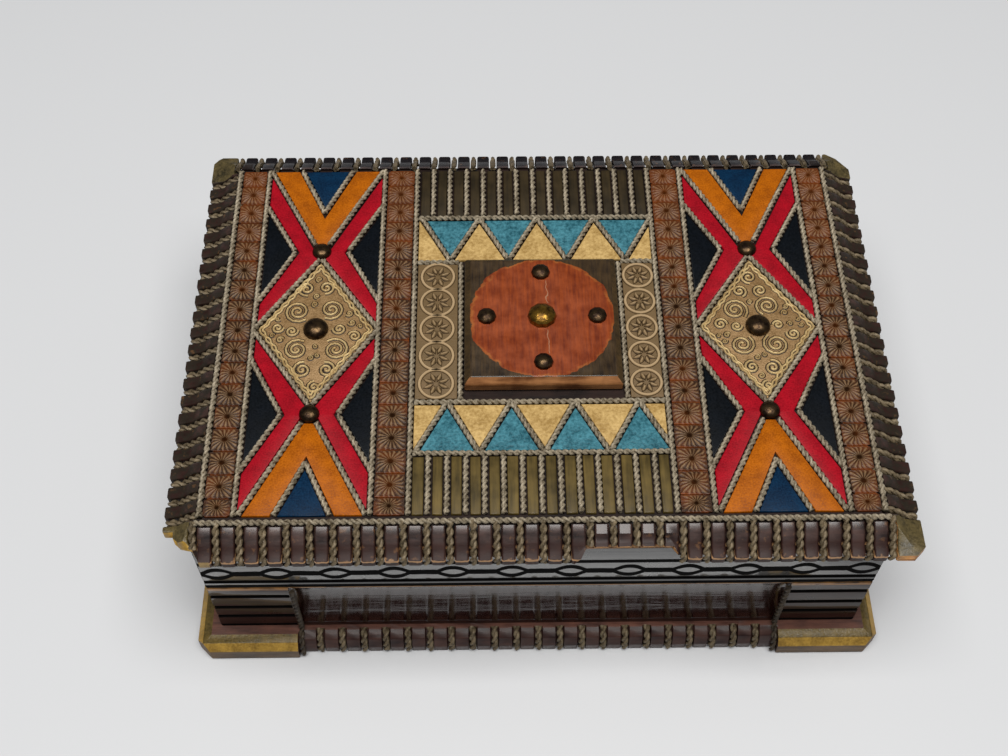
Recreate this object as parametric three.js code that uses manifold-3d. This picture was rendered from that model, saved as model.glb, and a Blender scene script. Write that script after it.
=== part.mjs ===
// Wooden box with a hinged lid, inlaid with twisted wire, stamped strips and painted fields.
// Millimetres, +Z up. The origin is the middle of the underside, and the front faces -Y.

import * as THREE from 'three';
import { ConvexGeometry } from 'three/addons/geometries/ConvexGeometry.js';
import { mergeVertices } from 'three/addons/utils/BufferGeometryUtils.js';
import Module from 'manifold-3d';

const wasm = await Module();
wasm.setup();

// Driving dimensions
const clearance = 0.3; // gap between neighbouring pieces

const panelLength = 190; // lid panel between the outer long wires
const panelWidth = 130;
const lidThickness = 8;
const rimWidth = 9.5; // front and back rims, out from the panel
const sideRimWidth = 10.7; // left and right rims
const rimRadius = 11; // convex curve of the rim
const rimStartAngle = 12; // slope in degrees at the panel's edge
const rimEndAngle = 52; // slope where the curve meets the ledge
const ledgeDrop = 0.9;
const lidCornerCut = 2.7;
const lidOverhang = 6; // past the front and back walls
const sideOverhang = 7.2; // past the left and right walls

const wallHeight = 53.4;
const wallThickness = 8;
const cornerBlock = 24; // grooved block at each end of a wall
const coveBottom = 2.6; // above the wall's foot
const coveHeight = 24.6;
const coveDepth = 3;
const bandLines = [ 27.2, 31.4 ]; // fine lines right round the walls, above the foot
const blockLines = [ 7.3, 13.8, 21.2 ]; // grooves of the corner blocks, above the foot
const bandLineDepth = 0.5;
const blockLineDepth = 0.9;

const baseThickness = 8;
const baseLedge = 2.9; // flat ledge outside the walls
const baseUpperBevel = 2.6;
const baseLowerBevel = 2;
const baseUpperDrop = 0.7;
const baseLowerDrop = 2.2;
const baseCornerCut = 4;
const baseSetback = 2; // of the rounded middle stretches
const baseRoundInset = 1.6; // from the ledge's inner edge to the rounding
const baseRoundHeight = 5;
const baseNotchDepth = 1.2;

const longWireRadius = 0.85;
const crossWireRadius = 0.95;
const wireRise = 0.2; // wire centre above the panel
const crossWireSink = 0.8; // wire centre below the rim's surface
const frontPitch = 6.43; // cross wires over the front and back rims
const sidePitch = 6.2;
const basePitch = 6.77;
const rimWireMargin = 3; // last cross wire to the end of the panel's side

const outerStrip = 9.5; // pitch of the wires each side of a stamped strip
const innerStrip = 10.5;
const centreHalf = 37.4; // centre line to its long wire
const stripTile = 7.65;
const tileGroove = 0.5;
const stripRelief = 0.6; // above the panel
const inlayFloor = 0.95; // recess depth below the panel
const plateRise = 0.4; // diamond plates above the panel
const plateBead = 1.4; // width of a plate's raised border
const plateBeadRise = 0.35;

const diamondHalf = 27.5; // diamond's apex along Y
const nailPastDiamond = 2.5; // side nail from the diamond's apex
const orangeStart = 2; // orange bands start this far past the nail
const waistHalf = 8.2; // red bands' waist
const shoulderInner = 10; // red bands meet the long wires, along Y
const shoulderOuter = 49.3;
const orangeNailHalf = 2;
const blueHalf = 8.8;
const blueApex = 46;

const bandInner = 26.2; // triangle band along Y
const bandOuter = 43.4;
const stripeBars = 14;
const triangles = 4;
const backTriangleStart = - 26.4; // first turquoise apex along X
const backTrianglePitch = 18.2;
const frontTriangleStart = - 26.8;
const frontTrianglePitch = 18.6;

const plaqueSize = 46.6;
const plaqueHeight = 4.2; // above the panel
const plaqueBevel = 1.8;
const plaqueShift = [ 1.4, 1.4 ]; // off the lid's centre, as made
const flowerRadius = 4.4;
const flowerPitch = 9.9;
const flowerRise = 0.5;
const flowers = 5;

const splitMiddle = 24; // split out of the front rim, along X
const splitHalf = 17;
const splitDepth = 5;
const splitRise = 0.3; // above the edge between the rim's curve and its ledge
const frontChip = 11; // broken front left corner of the lid, along its front
const backChip = 9; // broken back right corner

const sideNailRadius = 3;
const midNailRadius = 3.8;
const plaqueNailRadius = 2.9;
const centreNailRadius = 4.4;
const plaqueNailCircle = 16.6;
const nailDome = 0.62; // rise as a share of the head's radius
const nailShoulder = [ 0.72, 0.7 ]; // where its curve bends, as shares of radius and rise
const nailShank = 0.7; // half of its square section
const nailShankLength = 5;

const hingeLength = 22;
const hingeInset = 30; // hinge's outer end from the wall's end
const leafThickness = 0.8;
const leafDepth = 6; // over the wall's top
const leafInset = 0.1; // leaf's face inside the wood's face
const barrelRadius = 1.7;
const pinRadius = 0.8;
const barrelSides = 8;

// Heights and outlines that follow
const wallBottom = baseThickness + clearance;
const wallTop = wallBottom + wallHeight;
const lidBottom = wallTop + clearance;
const panelTop = lidBottom + lidThickness;
const inlayBottom = panelTop - inlayFloor;
const wireZ = panelTop + wireRise;
const halfX = panelLength / 2;
const halfY = panelWidth / 2;
const lidX = halfX + sideRimWidth;
const lidY = halfY + rimWidth;
const wallX = lidX - sideOverhang;
const wallY = lidY - lidOverhang;
const baseOut = baseLedge + baseUpperBevel + baseLowerBevel;
const baseX = wallX + baseOut;
const baseY = wallY + baseOut;
const far = 40; // reach of cutters past the part
const fieldOuter = halfX - outerStrip;
const fieldInner = centreHalf + innerStrip;
const fieldMiddle = ( fieldOuter + fieldInner ) / 2;
const fieldHalf = ( fieldOuter - fieldInner ) / 2;
const nailOffset = diamondHalf + nailPastDiamond;
const wireGap = longWireRadius + clearance;

const part = new THREE.Group();

// Materials
const finishes = {
	darkWood: { color: 0x35201a, roughness: 0.3 },
	stripWood: { color: 0x5a361e, roughness: 0.6 },
	plaqueWood: { color: 0x6a4a22, roughness: 0.5 },
	foil: { color: 0xb8935a, roughness: 0.5, metalness: 0.5 },
	wire: { color: 0x82785f, roughness: 0.6, metalness: 0.8 },
	brass: { color: 0x8c6c3c, roughness: 0.35, metalness: 0.9 },
};

function material( finish ) {

	return new THREE.MeshStandardMaterial( finishes[ finish ] );

}

// Solids and booleans
function solid( geometry ) {

	const bare = geometry.clone();
	bare.deleteAttribute( 'normal' );
	bare.deleteAttribute( 'uv' );
	const merged = mergeVertices( bare, 1e-5 );
	return new wasm.Manifold( new wasm.Mesh( {
		numProp: 3,
		vertProperties: new Float32Array( merged.attributes.position.array ),
		triVerts: new Uint32Array( merged.index.array ),
	} ) );

}

function joined( solids ) {

	return solids.reduce( ( sum, next ) => sum.add( next ) );

}

function cut( body, cutters ) {

	return cutters.length ? body.subtract( joined( cutters ) ) : body;

}

function addPiece( name, body, finish ) {

	const mesh = body.getMesh();
	const geometry = new THREE.BufferGeometry();
	geometry.setAttribute( 'position', new THREE.BufferAttribute( new Float32Array( mesh.vertProperties ), 3 ) );
	geometry.setIndex( new THREE.BufferAttribute( new Uint32Array( mesh.triVerts ), 1 ) );
	const piece = new THREE.Mesh( geometry, material( finish ) );
	piece.name = name;
	part.add( piece );
	return piece;

}

// A flat outline swept straight between two planes: 'z' takes (x, y), 'x' takes (y, z), 'y' takes (z, x)
function prism( axis, outline, from, to, holes = [] ) {

	const shape = new THREE.Shape( outline.map( ( [ u, v ] ) => new THREE.Vector2( u, v ) ) );
	shape.holes = holes;
	const geometry = new THREE.ExtrudeGeometry( shape, { depth: to - from, bevelEnabled: false } );
	geometry.translate( 0, 0, from );
	const x = new THREE.Vector3( 1, 0, 0 );
	const y = new THREE.Vector3( 0, 1, 0 );
	const z = new THREE.Vector3( 0, 0, 1 );
	const axes = { x: [ y, z, x ], y: [ z, x, y ], z: [ x, y, z ] }[ axis ];
	geometry.applyMatrix4( new THREE.Matrix4().makeBasis( ...axes ) );
	return solid( geometry );

}

function box( x0, x1, y0, y1, z0, z1 ) {

	const geometry = new THREE.BoxGeometry( x1 - x0, y1 - y0, z1 - z0 );
	geometry.translate( ( x0 + x1 ) / 2, ( y0 + y1 ) / 2, ( z0 + z1 ) / 2 );
	return solid( geometry );

}

function hull( points ) {

	return solid( new ConvexGeometry( points.map( ( p ) => new THREE.Vector3( ...p ) ) ) );

}

// Convex slab through rectangular rings [ halfX, halfY, z ], its corners cut at 45 degrees
function slab( rings, cornerCut ) {

	const reach = Math.max( ...rings.map( ( r ) => r[ 0 ] + r[ 1 ] ) ) - cornerCut;
	const points = [];
	for ( const [ x, y, z ] of rings ) {

		const c = Math.max( 0, x + y - reach );
		for ( const sx of [ - 1, 1 ] ) {

			for ( const sy of [ - 1, 1 ] ) {

				points.push( [ sx * ( x - c ), sy * y, z ] );
				if ( c > 0 ) points.push( [ sx * x, sy * ( y - c ), z ] );

			}

		}

	}

	return hull( points );

}

// Polygon with each edge moved inwards by its own gap; edge i runs from point i to the next
function insetPolygon( points, gaps ) {

	const corners = points.map( ( [ x, y ] ) => new THREE.Vector2( x, y ) );
	const turning = Math.sign( THREE.ShapeUtils.area( corners ) );
	const lines = points.map( ( [ x, y ], i ) => {

		const [ nx, ny ] = points[ ( i + 1 ) % points.length ];
		const along = new THREE.Vector2( nx - x, ny - y ).normalize();
		const inward = new THREE.Vector2( - along.y, along.x ).multiplyScalar( turning );
		return { along, inward, reach: inward.x * x + inward.y * y + gaps[ i ] };

	} );
	return lines.map( ( next, i ) => {

		const last = lines[ ( i + lines.length - 1 ) % lines.length ];
		const cross = last.inward.x * next.inward.y - last.inward.y * next.inward.x;
		return [
			( last.reach * next.inward.y - next.reach * last.inward.y ) / cross,
			( next.reach * last.inward.x - last.reach * next.inward.x ) / cross,
		];

	} );

}

// Space between panel wires, their twist left out; gaps of zero or less open a side with no wire
function cell( points, gaps = points.map( () => longWireRadius ) ) {

	return prism( 'z', insetPolygon( points, gaps ), zLow, zHigh );

}

function panelWires( x0, x1, y0, y1, cells ) {

	return cut( box( x0, x1, y0, y1, wireZ - longWireRadius, wireZ + longWireRadius ), cells );

}

// Points of a flat route [ u, v ] moved sideways, to the left of its direction when gap is positive
function besideRoute( route, gap ) {

	const normals = route.slice( 1 ).map( ( [ u, v ], i ) => {

		const along = new THREE.Vector2( u - route[ i ][ 0 ], v - route[ i ][ 1 ] ).normalize();
		return new THREE.Vector2( - along.y, along.x );

	} );
	return route.map( ( [ u, v ], i ) => {

		const before = normals[ Math.max( 0, i - 1 ) ];
		const after = normals[ Math.min( normals.length - 1, i ) ];
		const mitre = before.clone().add( after ).multiplyScalar( gap / ( 1 + before.dot( after ) ) );
		return [ u + mitre.x, v + mitre.y ];

	} );

}

// Wire bent in the plane of x, its route in [ y, z ]
function bentWire( route, x, radius ) {

	const outline = [ ...besideRoute( route, radius ), ...besideRoute( route, - radius ).reverse() ];
	return prism( 'x', outline, x - radius, x + radius );

}

// Rim section, as [ distance out from the panel, height ]
function rimPoint( angle, inset = 0 ) {

	const start = THREE.MathUtils.degToRad( rimStartAngle );
	const a = THREE.MathUtils.degToRad( angle );
	const out = ( rimRadius - inset ) * Math.sin( a ) - rimRadius * Math.sin( start );
	const drop = rimRadius * Math.cos( start ) - ( rimRadius - inset ) * Math.cos( a );
	return [ out, panelTop - drop ];

}

const rimSteps = 2;
const rimCurve = [];
for ( let i = 0; i <= rimSteps; i ++ ) {

	rimCurve.push( rimPoint( rimStartAngle + ( rimEndAngle - rimStartAngle ) * i / rimSteps ) );

}

const arris = rimCurve[ rimSteps ];
const ledgeZ = arris[ 1 ] - ledgeDrop;

// Route of a cross wire over a rim of the width given
function crossRoute( width ) {

	return [
		rimPoint( rimStartAngle, crossWireSink ),
		[ arris[ 0 ] - crossWireSink, arris[ 1 ] - crossWireSink / 2 ],
		[ width - crossWireSink, lidBottom ],
	];

}

// Places along a side, at a pitch, kept a margin inside both ends
function placesAlong( half, pitch ) {

	const steps = Math.floor( 2 * half / pitch + 1e-6 );
	const places = [];
	for ( let i = 0; i <= steps; i ++ ) places.push( ( i - steps / 2 ) * pitch );
	return places;

}

const frontPlaces = placesAlong( halfX + longWireRadius + crossWireRadius, frontPitch );
const sidePlaces = placesAlong( halfY - rimWireMargin, sidePitch );

// Outline behind a route [ out, z ], reaching far beyond the rim
function outsideRoute( route, gap ) {

	const inner = besideRoute( route, - gap );
	const first = inner[ 0 ];
	const last = inner[ inner.length - 1 ];
	return [ [ first[ 0 ], first[ 1 ] + far ], ...inner, [ last[ 0 ], last[ 1 ] - far ],
		[ far, last[ 1 ] - far ], [ far, first[ 1 ] + far ] ];

}

// Notches across the rims of a board, at the places named for each side
function notches( outline, edgeX, edgeY, halfWidth, { front = [], back = [], left = [], right = [] } ) {

	const across = ( axis, places, place ) => places.map( ( p ) =>
		prism( axis, outline.map( place ), p - halfWidth, p + halfWidth ) );
	return [
		...across( 'x', front, ( [ out, z ] ) => [ - edgeY - out, z ] ),
		...across( 'x', back, ( [ out, z ] ) => [ edgeY + out, z ] ),
		...across( 'y', left, ( [ out, z ] ) => [ z, - edgeX - out ] ),
		...across( 'y', right, ( [ out, z ] ) => [ z, edgeX + out ] ),
	];

}

// Painted fields of one side, as the cells between their wires
function fieldCells( middle ) {

	const wired = longWireRadius;
	const open = - far;
	const cells = [ cell( [ [ 0, diamondHalf ], [ fieldHalf, 0 ], [ 0, - diamondHalf ], [ - fieldHalf, 0 ] ] ) ];
	for ( const sy of [ - 1, 1 ] ) {

		const nailEnd = sy * ( nailOffset + orangeStart );
		const end = sy * halfY;
		const waist = sy * nailOffset;
		const atNail = [ [ - orangeNailHalf, nailEnd ], [ orangeNailHalf, nailEnd ] ];
		const orange = [ [ fieldHalf, end ], [ - fieldHalf, end ], ...atNail ];
		cells.push( cell( orange, [ open, wired, 0, wired ] ) );
		const red = [
			[ - fieldHalf, end ], ...atNail, [ fieldHalf, end ],
			[ fieldHalf, sy * shoulderOuter ], [ waistHalf, waist ], [ fieldHalf, sy * shoulderInner ],
			[ fieldHalf, 0 ], [ 0, sy * diamondHalf ], [ - fieldHalf, 0 ],
			[ - fieldHalf, sy * shoulderInner ], [ - waistHalf, waist ], [ - fieldHalf, sy * shoulderOuter ],
		];
		cells.push( cell( red, red.map( ( _, i ) => i === 1 ? 0 : wired ) ) ); // no wire at the nail
		for ( const sx of [ - 1, 1 ] ) {

			const outer = [ sx * fieldHalf, sy * shoulderOuter ];
			const inner = [ sx * fieldHalf, sy * shoulderInner ];
			cells.push( cell( [ outer, [ sx * waistHalf, waist ], inner ] ) );

		}

	}

	return cells.map( ( body ) => body.translate( [ middle, 0, 0 ] ) );

}

// Centre of the panel: stripes, triangle bands and the room for the plaque and the flower strips
function centreCells() {

	const wired = longWireRadius;
	const past = - wired - clearance;
	const [ px0, px1 ] = plaqueWires;
	const cells = [ [ - centreHalf, px0 ], [ px0, px1 ], [ px1, centreHalf ] ].map( ( [ x0, x1 ] ) =>
		cell( [ [ x0, - bandInner ], [ x1, - bandInner ], [ x1, bandInner ], [ x0, bandInner ] ] ) );
	const bands = [
		{ sy: 1, start: backTriangleStart, pitch: backTrianglePitch, inner: past },
		{ sy: - 1, start: frontTriangleStart, pitch: frontTrianglePitch, inner: wired },
	];
	for ( const { sy, start, pitch, inner } of bands ) {

		const root = sy * bandOuter;
		const tip = sy * bandInner;
		const bar = 2 * centreHalf / stripeBars;
		for ( let i = 0; i < stripeBars; i ++ ) {

			const x = - centreHalf + i * bar;
			cells.push( cell( [ [ x, root ], [ x + bar, root ], [ x + bar, sy * halfY ], [ x, sy * halfY ] ],
				[ wired, wired, - far, wired ] ) );

		}

		for ( let i = 0; i < triangles; i ++ ) {

			const x = start + i * pitch;
			cells.push( cell( [ [ x - pitch / 2, root ], [ x + pitch / 2, root ], [ x, tip ] ] ) );
			const between = [ [ x - pitch, tip ], [ x, tip ], [ x - pitch / 2, root ] ];
			if ( i > 0 ) cells.push( cell( between, [ inner, wired, wired ] ) );

		}

		// Half triangles against the long wires, no taller than the band
		const last = start + ( triangles - 1 ) * pitch;
		for ( const [ x, s ] of [ [ start, - 1 ], [ last, 1 ] ] ) {

			const edge = s * centreHalf;
			const share = Math.min( 1, ( edge - x ) / ( s * pitch / 2 ) );
			const corner = [ edge, tip + ( root - tip ) * share ];
			cells.push( cell( [ [ edge, tip ], [ x, tip ], corner ], [ inner, wired, wired ] ) );

		}

	}

	return cells;

}

const plaqueHalf = plaqueSize / 2;
const plaqueWires = [ - 1, 1 ].map( ( s ) => plaqueShift[ 0 ] + s * ( plaqueHalf + wireGap ) );

// Space of the panel that wires may fill, kept off the border wire in front
const wireFront = - halfY + wireGap + longWireRadius;
const wireBack = halfY - wireGap;
const zLow = panelTop - far;
const zHigh = panelTop + far;

function longWire( x ) {

	return panelWires( x - longWireRadius, x + longWireRadius, wireFront, wireBack, [] );

}

// Nails, each [ name, x, y, radius, height of what it sits on ]
const foilTop = panelTop + plateRise;
const plaqueTop = panelTop + plaqueHeight;
const nails = [];
for ( const [ side, sx ] of [ [ 'left', - 1 ], [ 'right', 1 ] ] ) {

	nails.push( [ `nail_${side}_back`, sx * fieldMiddle, nailOffset, sideNailRadius, panelTop ] );
	nails.push( [ `nail_${side}_middle`, sx * fieldMiddle, 0, midNailRadius, foilTop ] );
	nails.push( [ `nail_${side}_front`, sx * fieldMiddle, - nailOffset, sideNailRadius, panelTop ] );

}

nails.push( [ 'nail_plaque_centre', ...plaqueShift, centreNailRadius, plaqueTop ] );
[ 'right', 'back', 'left', 'front' ].forEach( ( name, i ) => {

	const x = plaqueShift[ 0 ] + plaqueNailCircle * Math.cos( i * Math.PI / 2 );
	const y = plaqueShift[ 1 ] + plaqueNailCircle * Math.sin( i * Math.PI / 2 );
	nails.push( [ `nail_plaque_${name}`, x, y, plaqueNailRadius, plaqueTop ] );

} );

function nailSolid( [ , x, y, radius, seat ] ) {

	const foot = seat + clearance;
	const rise = nailDome * radius;
	const profile = [
		[ 0, foot ],
		[ radius, foot ],
		[ nailShoulder[ 0 ] * radius, foot + nailShoulder[ 1 ] * rise ],
		[ 0, foot + rise ],
	].map( ( [ r, z ] ) => new THREE.Vector2( r, z ) );
	const geometry = new THREE.LatheGeometry( profile, 8 );
	geometry.rotateX( Math.PI / 2 );
	geometry.translate( x, y, 0 );
	return solid( geometry ).add( post( x, y, nailShank, foot - nailShankLength, foot + rise / 2 ) );

}

function post( x, y, half, z0, z1 ) {

	return box( x - half, x + half, y - half, y + half, z0, z1 );

}

function column( x, y, radius, z0, z1 ) {

	const geometry = new THREE.CylinderGeometry( radius, radius, z1 - z0, 8 );
	geometry.rotateX( Math.PI / 2 );
	geometry.translate( x, y, ( z0 + z1 ) / 2 );
	return solid( geometry );

}

function shankHoles() {

	return nails.map( ( [ , x, y, , seat ] ) => post( x, y, nailShank + clearance, seat - nailShankLength, zHigh ) );

}

function nailRoom() {

	return nails.map( ( [ , x, y, radius ] ) => column( x, y, radius + clearance, zLow, zHigh ) );

}

// Hinges: leaves let into the back wall and the lid, barrel behind the wall
const hingePlaces = [ [ 'left', - 1 ], [ 'right', 1 ] ].map( ( [ name, s ] ) => {

	const middle = s * ( wallX - hingeInset - hingeLength / 2 );
	return [ name, middle - hingeLength / 2, middle + hingeLength / 2 ];

} );
const axisY = wallY + barrelRadius + clearance;
const axisZ = ( wallTop + lidBottom ) / 2;
const leafStart = wallY - leafDepth;
const wallLeafTop = wallTop - leafInset;
const lidLeafBottom = lidBottom + leafInset;

function barrel( x0, x1, outer, inner ) {

	const ring = ( r, turn ) => Array.from( { length: barrelSides }, ( _, i ) => {

		const a = ( i + 0.5 ) * 2 * Math.PI / barrelSides * turn;
		return [ axisY + r * Math.cos( a ), axisZ + r * Math.sin( a ) ];

	} );
	const holes = [];
	if ( inner ) holes.push( new THREE.Path( ring( inner, - 1 ).map( ( p ) => new THREE.Vector2( ...p ) ) ) );
	return prism( 'x', ring( outer, 1 ), x0, x1, holes );

}

function hinge( [ name, x0, x1 ] ) {

	const knuckle = ( x1 - x0 ) / 3;
	const bore = pinRadius + clearance;
	const gap = clearance / 2;
	const edges = [ x0, x0 + knuckle, x1 - knuckle, x1 ];
	const pinHole = barrel( x0 - far, x1 + far, bore );
	const turning = barrel( edges[ 1 ] - gap, edges[ 2 ] + gap, barrelRadius + clearance );
	const fixedEnds = [ [ x0 - 1, edges[ 1 ] + gap ], [ edges[ 2 ] - gap, x1 + 1 ] ]
		.map( ( [ a, b ] ) => barrel( a, b, barrelRadius + clearance ) );

	const wallLeaf = box( x0, x1, leafStart, axisY, wallLeafTop - leafThickness, wallLeafTop );
	const wallSide = cut( wallLeaf, [ turning ] )
		.add( barrel( edges[ 0 ], edges[ 1 ] - gap, barrelRadius ) )
		.add( barrel( edges[ 2 ] + gap, edges[ 3 ], barrelRadius ) )
		.subtract( pinHole );
	addPiece( `hinge_${name}_wall_leaf`, wallSide, 'brass' );

	const lidLeaf = box( x0, x1, leafStart, axisY, lidLeafBottom, lidLeafBottom + leafThickness );
	const lidSide = cut( lidLeaf, fixedEnds )
		.add( barrel( edges[ 1 ] + gap, edges[ 2 ] - gap, barrelRadius ) )
		.subtract( pinHole );
	addPiece( `hinge_${name}_lid_leaf`, lidSide, 'brass' );
	addPiece( `hinge_${name}_pin`, barrel( x0, x1, pinRadius ), 'brass' );

}

// Section of the base's middle stretches, as [ distance out from the wall, height ]
const baseRound = [ 0, 1, 2 ].map( ( i ) => {

	const a = i * Math.PI / 4;
	const out = baseRoundInset + ( baseOut - baseSetback - baseRoundInset ) * Math.sin( a );
	return [ out, baseThickness - baseRoundHeight * ( 1 - Math.cos( a ) ) ];

} );

// Base board: bevelled corners, rounded and notched middle stretches
function baseBoard() {

	const rings = [
		[ baseX, baseY, 0 ],
		[ baseX, baseY, baseThickness - baseUpperDrop - baseLowerDrop ],
		[ baseX - baseLowerBevel, baseY - baseLowerBevel, baseThickness - baseUpperDrop ],
		[ wallX + baseLedge, wallY + baseLedge, baseThickness ],
	];
	const middle = [ 0 ];
	const outline = outsideRoute( baseRound, 0 );
	const long = notches( outline, wallX, wallY, wallX - cornerBlock, { front: middle, back: middle } );
	const short = notches( outline, wallX, wallY, wallY - cornerBlock, { left: middle, right: middle } );
	const teeth = notches( outsideRoute( baseRound, baseNotchDepth ), wallX, wallY, crossWireRadius + clearance,
		{ front: basePlaces( wallX - cornerBlock ) } );
	return cut( slab( rings, baseCornerCut ), [ ...long, ...short, ...teeth ] );

}

// Cross wires of the base, between the two wires at the ends of the stretch
function basePlaces( half ) {

	const steps = Math.round( 2 * half / basePitch );
	const places = [];
	for ( let i = 1; i < steps; i ++ ) places.push( half * ( 2 * i / steps - 1 ) );
	return places;

}

// One wall, its outer face on y = 0 and facing -Y
function wall( half, cutters ) {

	const mitre = clearance / Math.SQRT2;
	const plan = [
		[ - half + mitre, 0 ],
		[ half - mitre, 0 ],
		[ half - wallThickness - mitre, wallThickness ],
		[ - half + wallThickness + mitre, wallThickness ],
	];
	const line = ( height, depth, from, to ) => {

		const z = wallBottom + height;
		return prism( 'x', [ [ - 1, z + 1 + depth ], [ depth, z ], [ - 1, z - 1 - depth ] ], from, to );

	};
	const stretch = half - cornerBlock;
	const radius = ( ( coveHeight / 2 ) ** 2 + coveDepth ** 2 ) / ( 2 * coveDepth );
	const coveMiddle = wallBottom + coveBottom + coveHeight / 2;
	const spread = Math.asin( coveHeight / 2 / radius );
	const cove = [ - 3, - 2, - 1, 0, 1, 2, 3 ].map( ( i ) => {

		const a = i / 3 * spread;
		return [ coveDepth - radius * ( 1 - Math.cos( a ) ), coveMiddle + radius * Math.sin( a ) ];

	} );
	const coveOutline = [ ...cove, [ - 1, cove[ 6 ][ 1 ] ], [ - 1, cove[ 0 ][ 1 ] ] ];
	const shaping = [ prism( 'x', coveOutline, - stretch, stretch ) ];
	for ( const height of bandLines ) shaping.push( line( height, bandLineDepth, - far - half, half + far ) );
	for ( const height of blockLines ) {

		shaping.push( line( height, blockLineDepth, stretch + clearance, half + far ) );
		shaping.push( line( height, blockLineDepth, - half - far, - stretch - clearance ) );

	}

	return cut( prism( 'z', plan, wallBottom, wallTop ), [ ...shaping, ...cutters ] );

}

function addWalls() {

	const leafPockets = hingePlaces.map( ( [ , x0, x1 ] ) => {

		const floor = wallLeafTop - leafThickness - clearance;
		return box( - x1 - clearance, - x0 + clearance, - far, leafDepth + clearance, floor, zHigh );

	} );
	const walls = [
		[ 'wall_front', wallX, 0, [ 0, - wallY ], [] ],
		[ 'wall_back', wallX, Math.PI, [ 0, wallY ], leafPockets ],
		[ 'wall_left', wallY, - Math.PI / 2, [ - wallX, 0 ], [] ],
		[ 'wall_right', wallY, Math.PI / 2, [ wallX, 0 ], [] ],
	];
	for ( const [ name, half, turn, [ x, y ], cutters ] of walls ) {

		const piece = addPiece( name, wall( half, cutters ), 'darkWood' );
		piece.rotation.z = turn;
		piece.position.set( x, y, 0 );

	}

}

// Wires that run down the ends of the corner blocks and over the base
function addWallWires() {

	const top = wallBottom + coveBottom + coveHeight;
	const off = longWireRadius + clearance;
	const over = besideRoute( baseRound, off ).map( ( [ out, z ] ) => [ - out, z ] );
	const route = [
		[ - off, top ],
		[ - off, baseThickness + off ],
		...over,
		[ over[ 2 ][ 0 ], longWireRadius ],
	];
	for ( const [ name, s ] of [ [ 'left', - 1 ], [ 'right', 1 ] ] ) {

		const wire = bentWire( route, s * ( wallX - cornerBlock - wireGap ), longWireRadius );
		const piece = addPiece( `wall_wire_${name}`, wire, 'wire' );
		piece.position.y = - wallY;

	}

}

// Damage, as seen: two broken lid corners and a split out of the front rim
function lidBreaks() {

	const deep = lidBottom - 1;
	const past = 2;
	const brokenEdge = [ [ 1.05, - 0.1 ], [ 1, 0 ], [ 0.87, 0.25 ], [ 0.75, 0.44 ], [ 0.46, 0.5 ], [ 0.3, 0.65 ],
		[ 0.28, 0.84 ], [ - 0.1, 0.84 ], [ - 0.1, - 0.1 ] ];
	const frontLeft = prism( 'z', brokenEdge.map( ( [ x, y ] ) => [ x * frontChip - lidX, y * frontChip - lidY ] ),
		zLow, zHigh );
	const backRight = hull( [
		[ - past, - past, deep ],
		[ backChip, - past, deep ],
		[ - past, backChip, deep ],
		[ - past, - past, zHigh ],
		[ backChip - 2, - past, zHigh ],
		[ - past, backChip - 1, zHigh ],
	].map( ( [ x, y, z ] ) => [ lidX - x, lidY - y, z ] ) );
	const splitTop = arris[ 1 ] + splitRise;
	const split = hull( [
		[ splitHalf, - past, deep ],
		[ 0.7 * splitHalf, splitDepth, deep ],
		[ 0.8 * splitHalf, - past, splitTop ],
		[ 0.7 * splitHalf, rimWidth - arris[ 0 ], splitTop ],
	].flatMap( ( [ x, y, z ] ) => [ - x, x ].map( ( side ) => [ splitMiddle + side, y - lidY, z ] ) ) );
	return [ frontLeft, backRight, split ];

}

// Lid board: domed rim with notches, grooves and recesses for all that is let in
function lidBoard() {

	const domed = slab( [
		...rimCurve.map( ( [ out, z ] ) => [ halfX + out, halfY + out, z ] ),
		[ halfX + arris[ 0 ], halfY + arris[ 0 ], lidBottom ],
	], 0 );
	const lower = slab( [
		[ halfX + arris[ 0 ], halfY + arris[ 0 ], arris[ 1 ] ],
		[ lidX, lidY, ledgeZ ],
		[ lidX, lidY, lidBottom ],
	], 0 );
	const bevel = 2 * far;
	const cornerCuts = [ [ - 1, - 1 ], [ - 1, 1 ], [ 1, - 1 ], [ 1, 1 ] ].map( ( [ sx, sy ] ) => prism( 'z', [
		[ sx * ( lidX - lidCornerCut ), sy * lidY ],
		[ sx * ( lidX - lidCornerCut + bevel ), sy * ( lidY + bevel ) ],
		[ sx * ( lidX + bevel ), sy * ( lidY - lidCornerCut + bevel ) ],
		[ sx * lidX, sy * ( lidY - lidCornerCut ) ],
	], zLow, zHigh ) );

	const room = crossWireRadius + clearance;
	const teeth = [
		...notches( outsideRoute( crossRoute( rimWidth ), room ), halfX, halfY, room,
			{ front: frontPlaces, back: frontPlaces } ),
		...notches( outsideRoute( crossRoute( sideRimWidth ), room ), halfX, halfY, room,
			{ left: sidePlaces, right: sidePlaces } ),
	];

	const recess = box( - halfX - wireGap, halfX + wireGap, - halfY - wireGap, halfY, inlayBottom, zHigh );
	const hingePockets = hingePlaces.flatMap( ( [ , x0, x1 ] ) => {

		const round = barrelRadius + 2 * clearance;
		const ceiling = lidLeafBottom + leafThickness + clearance;
		return [
			box( x0 - clearance, x1 + clearance, leafStart - clearance, axisY, zLow, ceiling ),
			box( x0 - clearance, x1 + clearance, axisY - round, axisY + round, zLow, axisZ + round ),
		];

	} );

	const lettingIn = [ recess, ...hingePockets, ...shankHoles() ];
	return cut( domed.add( lower ), [ ...cornerCuts, ...teeth, ...lettingIn, ...lidBreaks() ] );

}

// Diamond outline inside its wires
function diamondPlate( x, inset, z0, z1 ) {

	const slope = Math.hypot( fieldHalf, diamondHalf );
	const half = fieldHalf - inset * slope / diamondHalf;
	const tall = diamondHalf - inset * slope / fieldHalf;
	return prism( 'z', [ [ x - half, 0 ], [ x, - tall ], [ x + half, 0 ], [ x, tall ] ], z0, z1 );

}

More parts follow.
